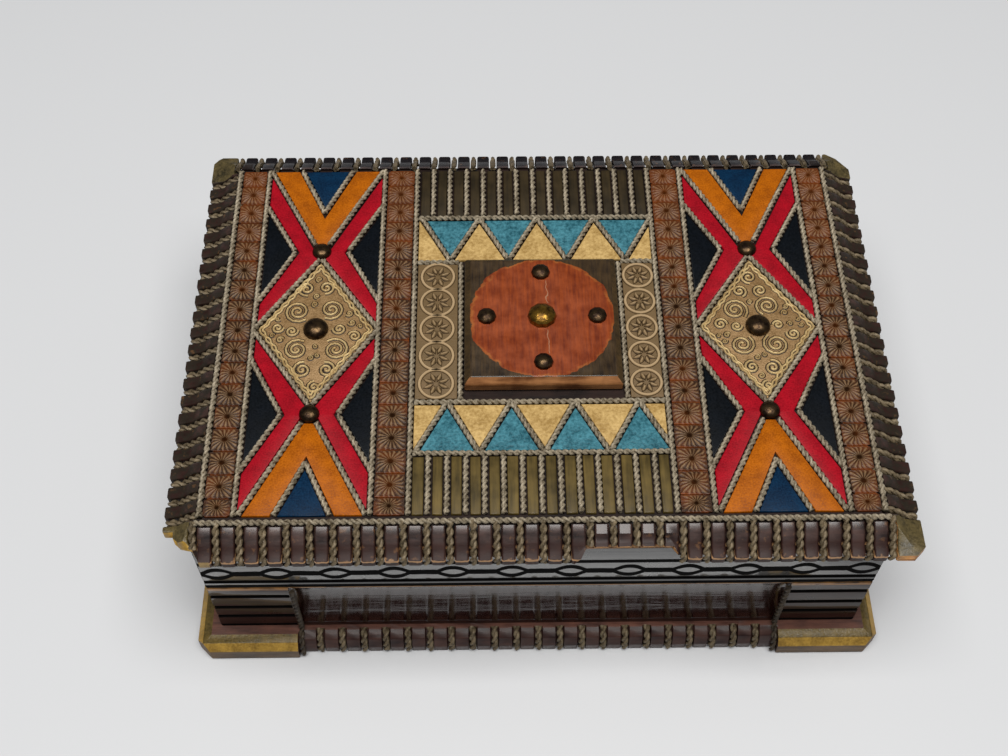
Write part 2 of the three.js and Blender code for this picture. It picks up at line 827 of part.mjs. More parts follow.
function addInlays() {

	const foot = inlayBottom + clearance;
	const holes = shankHoles();

	for ( const [ name, s ] of [ [ 'left', - 1 ], [ 'right', 1 ] ] ) {

		const x = s * fieldMiddle;
		const rim = diamondPlate( x, wireGap, foot, foilTop )
			.subtract( diamondPlate( x, wireGap + plateBead, foilTop - plateBeadRise, zHigh ) );
		const middle = column( x, 0, midNailRadius + plateBead, foot, foilTop );
		addPiece( `diamond_${name}`, cut( rim.add( middle ), holes ), 'foil' );

	}

	// Stamped strips, a sunburst tile each
	const stripEnds = [ wireFront, wireBack ];
	const strips = [
		[ 'outer_left', - halfX, - fieldOuter ], [ 'inner_left', - fieldInner, - centreHalf ],
		[ 'inner_right', centreHalf, fieldInner ], [ 'outer_right', fieldOuter, halfX ],
	];
	for ( const [ name, x0, x1 ] of strips ) {

		const strip = box( x0 + wireGap, x1 - wireGap, ...stripEnds, foot, panelTop + stripRelief );
		const cuts = placesAlong( halfY - stripTile / 2, stripTile ).map( ( y ) => prism( 'x', [
			[ y - tileGroove, panelTop + stripRelief + 0.01 ],
			[ y, panelTop + stripRelief - tileGroove ],
			[ y + tileGroove, panelTop + stripRelief + 0.01 ],
		], x0, x1 ) );
		addPiece( `rosette_strip_${name}`, cut( strip, cuts ), 'stripWood' );

	}

	// Flower strips either side of the plaque
	const flowerStrips = [
		[ 'left', - centreHalf, plaqueWires[ 0 ] ], [ 'right', plaqueWires[ 1 ], centreHalf ],
	];
	for ( const [ name, x0, x1 ] of flowerStrips ) {

		const end = bandInner - wireGap - longWireRadius;
		const plate = box( x0 + wireGap, x1 - wireGap, - end, end, foot, panelTop );
		const radius = Math.min( flowerRadius, ( x1 - x0 ) / 2 - wireGap );
		const rounds = [];
		for ( let i = 0; i < flowers; i ++ ) {

			const y = ( i - ( flowers - 1 ) / 2 ) * flowerPitch;
			rounds.push( column( ( x0 + x1 ) / 2, y, radius, foot, panelTop + flowerRise ) );

		}

		addPiece( `flower_strip_${name}`, joined( [ plate, ...rounds ] ), 'stripWood' );

	}

	const [ px, py ] = plaqueShift;
	const plaquePoints = [];
	for ( const [ half, z ] of [ [ plaqueHalf, foot ], [ plaqueHalf, plaqueTop - plaqueBevel ],
		[ plaqueHalf - plaqueBevel, plaqueTop ] ] ) {

		for ( const sx of [ - half, half ] ) {

			for ( const sy of [ - half, half ] ) plaquePoints.push( [ px + sx, py + sy, z ] );

		}

	}

	addPiece( 'lid_plaque', cut( hull( plaquePoints ), holes ), 'plaqueWood' );

}

function addWires() {

	const room = nailRoom();
	for ( const [ name, s ] of [ [ 'left', - 1 ], [ 'right', 1 ] ] ) {

		const middle = s * fieldMiddle;
		const reach = fieldHalf + longWireRadius;
		const net = panelWires( middle - reach, middle + reach, wireFront, wireBack, fieldCells( middle ) );
		addPiece( `field_wires_${name}`, cut( net, room ), 'wire' );

		for ( const [ end, sy ] of [ [ 'back', 1 ], [ 'front', - 1 ] ] ) {

			const edge = sy * halfY;
			const triangle = [ [ middle - blueHalf, edge ], [ middle + blueHalf, edge ], [ middle, sy * blueApex ] ];
			const outline = insetPolygon( triangle, [ 0, - longWireRadius, - longWireRadius ] );
			const vee = prism( 'z', outline, wireZ - longWireRadius, wireZ + longWireRadius )
				.intersect( panelWires( middle - fieldHalf, middle + fieldHalf, wireFront, wireBack, [] ) );
			const inside = cell( triangle, [ - far, longWireRadius, longWireRadius ] );
			addPiece( `blue_field_wire_${name}_${end}`, cut( vee, [ inside ] ), 'wire' );

		}

		addPiece( `long_wire_${name}`, longWire( s * halfX ), 'wire' );

	}

	const reach = centreHalf + longWireRadius;
	addPiece( 'centre_wires', panelWires( - reach, reach, wireFront, wireBack, centreCells() ), 'wire' );

	const last = frontPlaces[ frontPlaces.length - 1 ];
	const border = panelWires( - last, last, - halfY - longWireRadius, - halfY + longWireRadius, [] );
	addPiece( 'border_wire_front', border, 'wire' );

}

addPiece( 'base_board', baseBoard(), 'darkWood' );
addWalls();
addWallWires();
addPiece( 'lid_board', lidBoard(), 'darkWood' );
addInlays();
addWires();
for ( const nail of nails ) addPiece( nail[ 0 ], nailSolid( nail ), 'brass' );
hingePlaces.forEach( hinge );

export default part;
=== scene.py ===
import math
import random

import bmesh
import bpy
from mathutils import Matrix, Vector


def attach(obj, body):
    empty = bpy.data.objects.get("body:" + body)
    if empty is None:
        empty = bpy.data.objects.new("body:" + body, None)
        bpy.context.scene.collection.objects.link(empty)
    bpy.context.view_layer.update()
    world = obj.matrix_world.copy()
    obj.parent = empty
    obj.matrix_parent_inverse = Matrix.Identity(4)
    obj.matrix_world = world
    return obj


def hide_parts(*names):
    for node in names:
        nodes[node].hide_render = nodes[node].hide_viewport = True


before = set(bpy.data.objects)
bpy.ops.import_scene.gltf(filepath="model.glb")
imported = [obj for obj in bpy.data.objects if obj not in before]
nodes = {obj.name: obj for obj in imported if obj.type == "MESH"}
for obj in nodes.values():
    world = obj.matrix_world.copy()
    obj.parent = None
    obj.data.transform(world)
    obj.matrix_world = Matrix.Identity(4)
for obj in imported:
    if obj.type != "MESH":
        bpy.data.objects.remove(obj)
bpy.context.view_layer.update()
scene = bpy.context.scene
random.seed(7)

# Sizes in millimetres that several pieces share, the same as in the part
panelTop = 70.0
panelFloor = 69.05  # wood under the paint
wireZ = 70.2  # middle of the wires in the panel
halfX = 95.0  # panel, half its length and depth
halfY = 65.0
lidY = 74.5
lidBottom = 62.0
longRadius = 0.85  # wires in the panel
crossRadius = 1.05  # wires across the rim and the base
crossPitch = 5.2  # length of one full turn of those
fieldOuter = 85.5
fieldInner = 47.9
fieldMiddle = (fieldOuter + fieldInner) / 2
fieldHalf = (fieldOuter - fieldInner) / 2
diamondHalf = 27.5
diamondOutline = [(0, diamondHalf), (fieldHalf, 0), (0, -diamondHalf), (-fieldHalf, 0)]
centreHalf = 37.4
wireFront = -63.0  # ends of the wires that run from front to back
wireBack = 63.85
padGap = longRadius + 0.12  # from a wire's middle line to the paint beside it
wallX = 98.5
wallY = 68.5
stretchHalf = 74.5  # between the corner blocks, along the front and the sides
sideStretchHalf = 44.5
plaqueX = 1.4
plaqueY = 1.4
plaqueWires = (plaqueX - 24.45, plaqueX + 24.45)


# Shading helpers
def linear(hexCode):
    values = [int(hexCode[i:i + 2], 16) / 255 for i in (0, 2, 4)]
    return tuple(v / 12.92 if v <= 0.04045 else ((v + 0.055) / 1.055) ** 2.4 for v in values) + (1.0,)


class Wave:  # a socket that can be reckoned with
    def __init__(self, graph, socket):
        self.graph = graph
        self.socket = socket

    def math(self, kind, *others):
        return self.graph.node("ShaderNodeMath", {"operation": kind}, self, *others)

    def __add__(self, other):
        return self.math("ADD", other)

    __radd__ = __add__

    def __mul__(self, other):
        return self.math("MULTIPLY", other)

    __rmul__ = __mul__

    def __sub__(self, other):
        return self.math("SUBTRACT", other)

    def __rsub__(self, other):
        return self.graph.node("ShaderNodeMath", {"operation": "SUBTRACT"}, other, self)

    def __truediv__(self, other):
        return self.math("DIVIDE", other)

    def below(self, edge, soft):  # 1 under the edge, 0 over it
        return self.graph.spread(self, edge + soft, edge - soft)

    def above(self, edge, soft):
        return self.graph.spread(self, edge - soft, edge + soft)


class Graph:
    def __init__(self, name, colour, roughness, metallic=0.0, coat=0.0):
        self.material = bpy.data.materials.new(name)
        self.material.use_nodes = True
        self.tree = self.material.node_tree
        self.shader = self.tree.nodes["Principled BSDF"]
        self.set("Base Color", linear(colour))
        self.set("Roughness", roughness)
        self.set("Metallic", metallic)
        self.set("Coat Weight", coat)
        self.set("Coat Roughness", 0.12)

    def node(self, kind, settings, *inputs, output=0):
        made = self.tree.nodes.new(kind)
        for key, value in settings.items():
            setattr(made, key, value)
        for i, value in enumerate(inputs):
            if value is None:
                continue
            if isinstance(value, Wave):
                self.tree.links.new(value.socket, made.inputs[i])
            else:
                made.inputs[i].default_value = value
        return Wave(self, made.outputs[output])

    def set(self, name, value):
        if isinstance(value, Wave):
            self.tree.links.new(value.socket, self.shader.inputs[name])
        else:
            self.shader.inputs[name].default_value = value

    def place(self):  # object coordinates in millimetres
        coords = self.node("ShaderNodeTexCoord", {}, output=3)
        return self.node("ShaderNodeVectorMath", {"operation": "SCALE"}, coords, None, None, 1000.0)

    def stretched(self, x, y, z):
        return self.node("ShaderNodeVectorMath", {"operation": "MULTIPLY"}, self.place(), (x, y, z))

    def axis(self, index):
        split = self.tree.nodes.new("ShaderNodeSeparateXYZ")
        self.tree.links.new(self.place().socket, split.inputs[0])
        return Wave(self, split.outputs[index])

    def noise(self, size, detail=3.0, where=None):
        return self.node("ShaderNodeTexNoise", {}, where or self.place(), None, 1 / size, detail, 0.6)

    def spread(self, value, low, high, first=0.0, last=1.0):
        return self.node("ShaderNodeMapRange", {"clamp": True}, value, low, high, first, last)

    def blend(self, share, first, second):
        made = self.tree.nodes.new("ShaderNodeMix")
        made.data_type = "RGBA"
        for socket, value in ((made.inputs[0], share), (made.inputs[6], first), (made.inputs[7], second)):
            if isinstance(value, Wave):
                self.tree.links.new(value.socket, socket)
            elif isinstance(value, str):
                socket.default_value = linear(value)
            else:
                socket.default_value = value
        return Wave(self, made.outputs[2])

    def bump(self, height, distance, strength=1.0):
        made = self.tree.nodes.new("ShaderNodeBump")
        made.inputs["Strength"].default_value = strength
        made.inputs["Distance"].default_value = distance * 0.001
        self.tree.links.new(height.socket, made.inputs["Height"])
        self.set("Normal", Wave(self, made.outputs[0]))

    def value(self, name):  # a named attribute of the piece
        made = self.tree.nodes.new("ShaderNodeAttribute")
        made.attribute_name = name
        return Wave(self, made.outputs["Fac"])


# Materials
def varnishedWood(name, dark, light, roughness, coat, grain=(0.12, 1.0, 1.0)):
    g = Graph(name, dark, roughness, coat=coat)
    g.set("Specular IOR Level", 0.22)
    streaks = g.noise(1.6, 4.0, g.stretched(*grain))
    blotches = g.noise(9.0)
    g.set("Base Color", g.blend(g.spread(streaks * 0.5 + blotches * 0.5, 0.38, 0.66), dark, light))
    g.set("Roughness", g.spread(blotches, 0.3, 0.7, roughness - 0.06, roughness + 0.14))
    g.bump(streaks + blotches, 0.12, 0.5)
    return g.material


def paint(name, colour, deep, roughness=0.42, grain=0.5, speck=0.5):
    g = Graph(name, colour, roughness)
    g.set("Specular IOR Level", 0.14)
    patches = g.noise(5.0)
    specks = g.noise(speck, 2.0)
    g.set("Base Color", g.blend(g.spread(patches * 0.5 + specks * 0.5, 0.38, 0.62), deep, colour))
    g.set("Roughness", g.spread(specks, 0.3, 0.7, roughness - 0.08, roughness + 0.15))
    g.bump(specks + patches * 0.6, 0.1 * grain)
    return g.material


# Where the rim changes colour: heights, and places along Y and X
rimZones = {"lower": 67.4, "back": 66.0, "sides": 95.8, "front": -70.0, "arris": (64.8, 65.7)}


def rimWood():
    g = Graph("rimWood", "3a2420", 0.3)
    g.set("Specular IOR Level", 0.16)
    g.set("Coat Roughness", 0.26)
    streaks = g.noise(1.4, 4.0, g.stretched(0.2, 0.6, 1.0))
    blotches = g.noise(6.0)
    wear = g.noise(2.2, 4.0)
    tone = g.blend(g.spread(streaks * 0.5 + blotches * 0.5, 0.36, 0.66), "1a100f", "4c3630")
    z = g.axis(2)
    y = g.axis(1)
    # Painted shade: the lower part of the rim is blended to a darker red-brown, for the side turned away from
    # the overhead light.
    tone = g.blend(z.below(rimZones["lower"], 0.8) * 0.6, tone, "28110c")
    # Painted shade: the back rim, which faces away from the light, is painted near black with a faint blue
    # cast.
    back = y.above(rimZones["back"], 0.5)
    tone = g.blend(back * 0.92, tone, "09070d")
    sides = g.axis(0).math("ABSOLUTE").above(rimZones["sides"], 0.3)
    tone = g.blend(sides * g.spread(wear, 0.35, 0.55) * 0.85, tone, "26221a")
    front = y.below(rimZones["front"], 0.3)
    ragged = z + wear * 1.8
    low, high = rimZones["arris"]
    arris = ragged.below(high, 0.2) * ragged.above(low, 0.2) * front
    tone = g.blend(arris * 0.9, tone, "d0a070")
    g.set("Base Color", g.blend(g.spread(wear, 0.6, 0.7) * 0.4, tone, "7c5634"))
    lower = z.below(rimZones["lower"] - 0.2, 0.5)
    g.set("Roughness", g.spread(blotches, 0.3, 0.7, 0.24, 0.42) + lower * 0.2)
    g.set("Coat Weight", (0.95 - lower * 0.88) * (1.0 - back * 0.85) * (1.0 - sides * 0.5))
    g.bump(streaks + blotches, 0.15, 0.6)
    return g.material


def bareWood():
    g = Graph("bareWood", "c08448", 0.6)
    streaks = g.noise(0.7, 4.0, g.stretched(0.1, 0.8, 1.0))
    g.set("Base Color", g.blend(g.spread(streaks, 0.35, 0.65), "7a4a24", "d09a5c"))
    g.bump(streaks, 0.25)
    return g.material


def wireMetal(name, light, dark):
    g = Graph(name, light, 0.55, metallic=0.25)
    patches = g.noise(2.4, 3.0)
    fine = g.noise(0.5, 2.0)
    g.set("Base Color", g.blend(g.spread(patches * 0.6 + fine * 0.4, 0.36, 0.62), dark, light))
    g.set("Roughness", g.spread(fine, 0.3, 0.7, 0.45, 0.7))
    g.bump(fine, 0.08)
    return g.material


def stamped(name, valley, ridgeHighlight, edge, grooveShade, roughness, backWear=0.0):
    g = Graph(name, valley, roughness)
    g.set("Specular IOR Level", 0.25)
    raised = g.value("raised")
    rim = g.value("rim")
    patches = g.noise(6.0)
    fine = g.noise(0.6, 3.0)
    base = g.blend(g.spread(patches, 0.44, 0.66) * 0.45, valley, edge)
    # Painted highlight: the raised rays, petal tops and ring tops are coloured lighter.
    worn = g.blend(g.spread(raised * (fine * 0.8 + 0.5), 0.2, 0.8), base, ridgeHighlight)
    # Painted shade: the bases of the petals and the lower halves of the rings are coloured dark.
    worn = g.blend(raised.below(-0.2, 0.5), worn, grooveShade)
    worn = g.blend(g.axis(1).above(44.0, 22.0) * backWear, worn, edge)
    g.set("Base Color", g.blend(g.spread(rim * (patches * 0.8 + 0.6), 0.7, 1.1), worn, edge))
    g.set("Roughness", g.spread(fine, 0.3, 0.7, roughness - 0.1, roughness + 0.15))
    g.bump(fine, 0.16)
    return g.material


def foil(name, colour, deep):
    g = Graph(name, colour, 0.42, metallic=0.35)
    patches = g.noise(3.5)
    fine = g.noise(0.45, 3.0)
    g.set("Base Color", g.blend(g.spread(patches * 0.5 + fine * 0.5, 0.36, 0.62), deep, colour))
    g.set("Roughness", g.spread(fine, 0.3, 0.7, 0.34, 0.6))
    g.bump(fine, 0.15)
    return g.material


def brass(name, colour, dark, roughness):
    g = Graph(name, colour, roughness, metallic=0.9)
    patches = g.noise(1.8, 3.0)
    g.set("Base Color", g.blend(g.spread(patches, 0.38, 0.64), dark, colour))
    g.set("Roughness", g.spread(patches, 0.3, 0.7, roughness + 0.12, roughness - 0.04))
    g.bump(patches, 0.12)
    return g.material


# Orange disc with a ragged edge, and the crack across it
plaquePaint = {"disc": 24.0, "raggedBy": 4.4, "crackX": 3.2, "crackFrom": 5.0, "crackTo": 13.5}


def plaqueFace():
    g = Graph("plaqueFace", "5a4a20", 0.36, coat=0.25)
    x = g.axis(0) - plaqueX
    y = g.axis(1) - plaqueY
    grain = g.noise(0.8, 4.0, g.stretched(1.0, 0.1, 1.0))
    patches = g.noise(5.0)
    ragged = g.noise(5.0, 4.0)
    far = (x * x + y * y).math("SQRT") + ragged * plaquePaint["raggedBy"]
    disc = far.below(plaquePaint["disc"], 0.12)
    edge = far.above(plaquePaint["disc"] - 0.7, 0.3) * disc * g.spread(patches, 0.4, 0.6)
    wood = g.blend(g.spread(grain * 0.6 + patches * 0.4, 0.36, 0.64), "1e1308", "463317")
    orange = g.blend(g.spread(grain * 0.55 + patches * 0.45, 0.36, 0.64), "642204", "94400c")
    crackX = (x + g.noise(4.0, 2.0) * 3.0 - plaquePaint["crackX"]).math("ABSOLUTE").below(0.13, 0.08)
    away = y.math("ABSOLUTE")
    crackY = away.above(plaquePaint["crackFrom"], 0.2) * away.below(plaquePaint["crackTo"], 0.2)
    tone = g.blend(disc, wood, orange)
    tone = g.blend(edge * 0.4, tone, "b0702c")
    g.set("Base Color", g.blend(crackX * crackY * 0.7, tone, "a88468"))
    g.set("Roughness", g.spread(patches, 0.3, 0.7, 0.3, 0.5))
    g.bump(grain, 0.12)
    return g.material


# Middle height of the hollow, how much its shading is flattened there and eased at its ends
coveShade = {"middle": 22.9, "flatten": 0.0187, "ease": 0.000035, "wornFrom": 33.9}


def coveFace():  # glossy hollow of the walls, shaded a little flatter than its round
    g = Graph("coveGloss", "2a2220", 0.1)
    g.set("Specular IOR Level", 1.0)
    z = g.axis(2)
    streaks = g.noise(1.6, 4.0, g.stretched(0.06, 1.0, 1.0))
    smears = g.noise(1.3, 3.0, g.stretched(1.0, 1.0, 0.08))
    blotches = g.noise(8.0)
    wood = g.blend(g.spread(streaks * 0.6 + blotches * 0.4, 0.36, 0.64), "1c0f0b", "3c2822")
    # Painted reflection: darker red towards the bottom, standing in for the dark base mirrored in the gloss.
    wood = g.blend(z.below(19.0, 3.0) * 0.8, wood, "1e0805")
    worn = z.above(coveShade["wornFrom"], 0.3) * g.spread(blotches * 0.5 + streaks * 0.5, 0.38, 0.5)
    g.set("Base Color", g.blend(worn * 0.8, wood, "a8784a"))
    g.set("Roughness", g.spread(smears, 0.35, 0.65, 0.06, 0.17))
    squared = (z - coveShade["middle"]) * (z - coveShade["middle"])
    g.bump(squared * (squared * coveShade["ease"] - coveShade["flatten"]) + streaks * 0.05, 1.0)
    return g.material


wallMarks = {
    "eyePitch": 17.0, "eyeHalf": 4.6, "eyeHeight": 2.7,
    "chainLevel": 45.2, "chainLine": 1.15, "straight": 0.4,  # straight: added between the eyes
    "upperLine": 51.2, "lowerLines": (39.9, 36.8), "grooves": (29.5, 22.1, 15.6, 8.8),  # heights
    "band": 35.2, "gold": 34.6,  # lower edge of the upper band, and the gilt line under it
}


def wallFace():  # flat faces of the walls, with the burnt chain along the front
    g = Graph("wallOutside", "2a2220", 0.3)
    g.set("Specular IOR Level", 0.1)
    g.set("Coat Roughness", 0.05)
    x = g.axis(0)
    y = g.axis(1)
    z = g.axis(2)
    streaks = g.noise(1.6, 4.0, g.stretched(0.06, 1.0, 1.0))
    blotches = g.noise(8.0)
    wobble = g.noise(9.0, 2.0) * 0.8 - 0.4
    wood = g.blend(g.spread(streaks * 0.6 + blotches * 0.4, 0.36, 0.64), "180c09", "34221c")
    # Painted reflection: darker red towards the bottom, standing in for the dark base mirrored in the gloss.
    wood = g.blend(z.below(19.0, 3.0) * 0.8, wood, "1e0805")
    upper = g.blend(g.spread(streaks, 0.36, 0.64), "1c1b1a", "3c3b39")
    eyePitch = wallMarks["eyePitch"]
    along = (x + 20 * eyePitch).math("MODULO", eyePitch) - eyePitch / 2
    reach = along / wallMarks["eyeHalf"]
    half = (1.0 - reach * reach).math("MAXIMUM", 0.0) * wallMarks["eyeHeight"]
    height = (z - wallMarks["chainLevel"] + wobble).math("ABSOLUTE")
    front = y.below(-60.0, 0.5)
    straight = reach.math("ABSOLUTE").above(0.95, 0.15) * wallMarks["straight"]
    line = ((height - half).math("ABSOLUTE") - straight).below(wallMarks["chainLine"], 0.12) * front
    edges = (z - wallMarks["upperLine"]).math("ABSOLUTE").below(1.0, 0.12)
    for level in wallMarks["lowerLines"]:
        edges = edges.math("MAXIMUM", (z - level).math("ABSOLUTE").below(1.05, 0.15))
    awayX = x.math("ABSOLUTE")
    awayY = y.math("ABSOLUTE")
    ends = awayX.above(stretchHalf + 0.3, 0.1).math("MINIMUM", awayY.above(60.0, 0.1))
    sides = awayY.above(sideStretchHalf + 0.3, 0.1).math("MINIMUM", awayX.above(90.0, 0.1))
    blocks = ends.math("MAXIMUM", sides)
    for level in wallMarks["grooves"]:
        edges = edges.math("MAXIMUM", (z - level).math("ABSOLUTE").below(1.0, 0.2) * blocks)
    burnt = line.math("MAXIMUM", edges)
    band = z.above(wallMarks["band"], 0.2)
    patchy = g.spread(blotches * 0.5 + streaks * 0.5, 0.38, 0.5)
    gold = (z - wallMarks["gold"]).math("ABSOLUTE").below(0.8, 0.3) * patchy
    tone = g.blend(band, wood, upper)
    tone = g.blend(gold * 0.8, tone, "b07c40")
    g.set("Base Color", g.blend(burnt, tone, "040303"))
    g.set("Roughness", g.spread(blotches, 0.3, 0.7, 0.25, 0.4).math("MAXIMUM", burnt))
    g.set("Coat Weight", (0.95 - burnt) - blocks * band.below(0.5, 0.2) * 0.45)
    g.bump(streaks * 0.06 - burnt * 0.35, 1.0)
    return g.material


def goldPaint(name, deep, colour):
    g = Graph(name, colour, 0.4, metallic=0.15)
    patches = g.noise(4.0)
    fine = g.noise(0.7, 3.0)
    g.set("Base Color", g.blend(g.spread(patches * 0.6 + fine * 0.4, 0.36, 0.62), deep, colour))
    g.set("Roughness", g.spread(fine, 0.3, 0.7, 0.3, 0.55))
    g.bump(fine, 0.12)
    return g.material


rimDark = rimWood()
bare = bareWood()
wallOutside = wallFace()
coveGloss = coveFace()
darkWood = varnishedWood("darkWood", "241413", "4c332c", 0.4, 0.08)
# Painted shade: the panel floor is near black, for the shadowed gaps between the painted fields and the
# wires.
panelDark = varnishedWood("panelDark", "140c0a", "2a1a14", 0.5, 0.0)
insideWood = varnishedWood("insideWood", "6e4a2c", "825a36", 0.5, 0.0)
ledgeWood = varnishedWood("ledgeWood", "3c2018", "6e4638", 0.5, 0.0)
cornerOlive = goldPaint("cornerOlive", "42350f", "6c5824")
lidOlive = goldPaint("lidOlive", "2e2814", "665834")
cornerGold = goldPaint("cornerGold", "806224", "b8923e")
cornerSide = varnishedWood("cornerSide", "4c3a28", "86705a", 0.5, 0.0)
# Painted light and shade on one wire metal: the panel wires, lying flat under the light, are lighter; the rim
# wires are darker.
panelWire = wireMetal("panelWire", "aa9e88", "5e5340")
rimWire = wireMetal("rimWire", "82735a", "403420")
darkWire = wireMetal("darkWire", "4c4030", "241c14")
plaqueTop = plaqueFace()
plaqueSide = varnishedWood("plaqueSide", "2a2012", "4c3a20", 0.36, 0.2)
# Painted highlight, partly wear: the plaque's front faces are a lighter wood, for the light falling on them.
plaqueFrontHighlightAndWear = varnishedWood("plaqueFrontHighlightAndWear", "5a3418", "b07a4c", 0.26, 0.5)
nailBrass = brass("nailBrass", "54422c", "261a12", 0.3)
brightBrass = brass("brightBrass", "a07a30", "4a3414", 0.2)
hingeBrass = brass("hingeBrass", "a08040", "5c4824", 0.36)
rosetteWood = stamped("rosetteWood", "38210f", "866a4c", "82400e", "1c0e08", 0.4, 0.4)
flowerWood = stamped("flowerWood", "7a6444", "a88f6c", "8e7250", "30210f", 0.5)
foilGold = foil("foilGold", "a4845a", "7c5e36")
# Painted highlight on the raised scroll and border lines, and painted shade in a wider dark band round them.
foilHighlight = foil("foilHighlight", "d8c08c", "ac8c58")
foilShade = foil("foilShade", "2c1b0a", "1a1006")
paints = {
    "red": paint("redPaint", "a80a1e", "820616"),
    "orange": paint("orangePaint", "b66204", "8c4602"),
    "blue": paint("bluePaint", "022c4a", "011a32"),
    "navy": paint("navyPaint", "040a12", "020509"),
    "turquoise": paint("turquoisePaint", "4a8694", "1e4e5a", grain=3.4, speck=1.0),
    "cream": paint("creamPaint", "ccac70", "9c7c46", grain=3.0, speck=1.0),
    "olive": varnishedWood("olivePaint", "221b0e", "3c301a", 0.5, 0.0, (1.0, 0.1, 1.0)),
    "worn": varnishedWood("wornOlive", "3c3218", "6c5a2e", 0.45, 0.1, (1.0, 0.1, 1.0)),
}
print("materials", len(bpy.data.materials))


# Mesh helpers
def addMesh(name, bm, materials, body, replaced=(), smoothAngle=None):
    bmesh.ops.scale(bm, vec=(0.001, 0.001, 0.001), verts=bm.verts)
    bmesh.ops.recalc_face_normals(bm, faces=bm.faces)
    mesh = bpy.data.meshes.new(name)
    bm.to_mesh(mesh)
    bm.free()
    for material in materials:
        mesh.materials.append(material)
    if smoothAngle is not None:
        mesh.polygons.foreach_set("use_smooth", [True] * len(mesh.polygons))
        mesh.set_sharp_from_angle(angle=math.radians(smoothAngle))
    piece = bpy.data.objects.new(name, mesh)
    scene.collection.objects.link(piece)
    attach(piece, body)
    if replaced:
        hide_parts(*replaced)
    return piece


def bevelled(piece, width, segments=2, angle=32):
    bevel = piece.modifiers.new("edges", "BEVEL")
    bevel.width = width * 0.001
    bevel.segments = segments
    bevel.limit_method = "ANGLE"
    bevel.angle_limit = math.radians(angle)
    bevel.harden_normals = True
    return piece


def copyOf(node):
    bm = bmesh.new()
    bm.from_mesh(nodes[node].data)
    bmesh.ops.scale(bm, vec=(1000, 1000, 1000), verts=bm.verts)
    bmesh.ops.remove_doubles(bm, verts=bm.verts, dist=0.005)
    bmesh.ops.dissolve_limit(bm, angle_limit=math.radians(1), verts=bm.verts, edges=bm.edges)
    bmesh.ops.recalc_face_normals(bm, faces=bm.faces)
    return bm


def paintFaces(bm, pick):  # the material of each face from its middle and normal
    for face in bm.faces:
        face.material_index = pick(face.calc_center_median(), face.normal)


def insetPolygon(points, gaps):
    area = sum(a[0] * b[1] - b[0] * a[1] for a, b in zip(points, points[1:] + points[:1]))
    lines = []
    for (a, b), gap in zip(zip(points, points[1:] + points[:1]), gaps):
        along = Vector((b[0] - a[0], b[1] - a[1])).normalized()
        inward = Vector((-along.y, along.x)) * math.copysign(1, area)
        lines.append((inward, inward.x * a[0] + inward.y * a[1] + gap))
    inside = []
    for i, (n, reach) in enumerate(lines):
        m, last = lines[i - 1]
        cross = m.x * n.y - m.y * n.x
        inside.append(((last * n.y - reach * m.y) / cross, (reach * m.x - last * n.x) / cross))
    return inside


def addPad(bm, outline, bottom, top, soft=0.3, wobble=0.08):  # a raised pad with rounded upper edges
    ring = [bm.verts.new((x + random.uniform(-wobble, wobble), y + random.uniform(-wobble, wobble), bottom))
            for x, y in outline]
    face = bm.faces.new(ring)
    pushed = bmesh.ops.extrude_face_region(bm, geom=[face])["geom"]
    lifted = [v for v in pushed if isinstance(v, bmesh.types.BMVert)]
    bmesh.ops.translate(bm, verts=lifted, vec=(0, 0, top - bottom))
    edges = [e for e in pushed if isinstance(e, bmesh.types.BMEdge)]
    bmesh.ops.bevel(bm, geom=edges, offset=soft, segments=2, profile=0.5, affect="EDGES", material=-1)


twistShape = {"offset": 0.47, "strand": 0.6, "sides": 6, "stepsPerTurn": 8}  # first two: shares of the radius


def addStrand(bm, path, side, radius, pitch, phase):
    sides = twistShape["sides"]
    lengths = [0.0]
    for a, b in zip(path, path[1:]):
        lengths.append(lengths[-1] + (b - a).length)
    total = lengths[-1]
    steps = max(2 * len(path), round(total / pitch * twistShape["stepsPerTurn"]))
    rings = []
    for i in range(steps + 1):
        s = total * i / steps
        k = max(j for j in range(len(path) - 1) if lengths[j] <= s + 1e-9)
        share = (s - lengths[k]) / max(1e-9, lengths[k + 1] - lengths[k])
        centre = path[k].lerp(path[k + 1], min(1, share))
        tangent = (path[k + 1] - path[k]).normalized()
        if share > 0.5 and k + 2 < len(path):
            tangent = tangent.lerp((path[k + 2] - path[k + 1]).normalized(), share - 0.5).normalized()
        if share < 0.5 and k > 0:
            tangent = tangent.lerp((path[k] - path[k - 1]).normalized(), 0.5 - share).normalized()
        normal = side.cross(tangent).normalized()
        across = tangent.cross(normal)
        turn = phase + 2 * math.pi * s / pitch
        outwards = normal * math.cos(turn) + across * math.sin(turn)
        middle = centre + outwards * radius * twistShape["offset"]
        ring = []
        for j in range(sides):
            a = 2 * math.pi * j / sides
            spoke = normal * math.cos(a) + across * math.sin(a)
            ring.append(bm.verts.new(middle + spoke * radius * twistShape["strand"]))
        rings.append(ring)
    for low, high in zip(rings, rings[1:]):
        for j in range(sides):
            bm.faces.new((low[j], low[(j + 1) % sides], high[(j + 1) % sides], high[j]))
    bm.faces.new(rings[0][::-1])
    bm.faces.new(rings[-1])


def addTwist(bm, points, side=(0, 0, 1), radius=longRadius, pitch=3.9):
    path = [Vector(p) for p in points]
    phase = random.uniform(0, 2 * math.pi)
    for turn in (0, math.pi):
        addStrand(bm, path, Vector(side), radius, pitch, phase + turn)


def flatTwist(bm, a, b, radius=longRadius, trim=0.0):  # a twisted wire lying in the panel
    start = Vector((a[0], a[1], wireZ))
    end = Vector((b[0], b[1], wireZ))
    along = (end - start).normalized()
    bow = random.uniform(-0.12, 0.12)
    sideways = Vector((-along.y, along.x, 0))
    start += along * trim
    end -= along * trim
    middle = (start + end) / 2 + sideways * bow
    addTwist(bm, (start, middle, end), radius=radius)


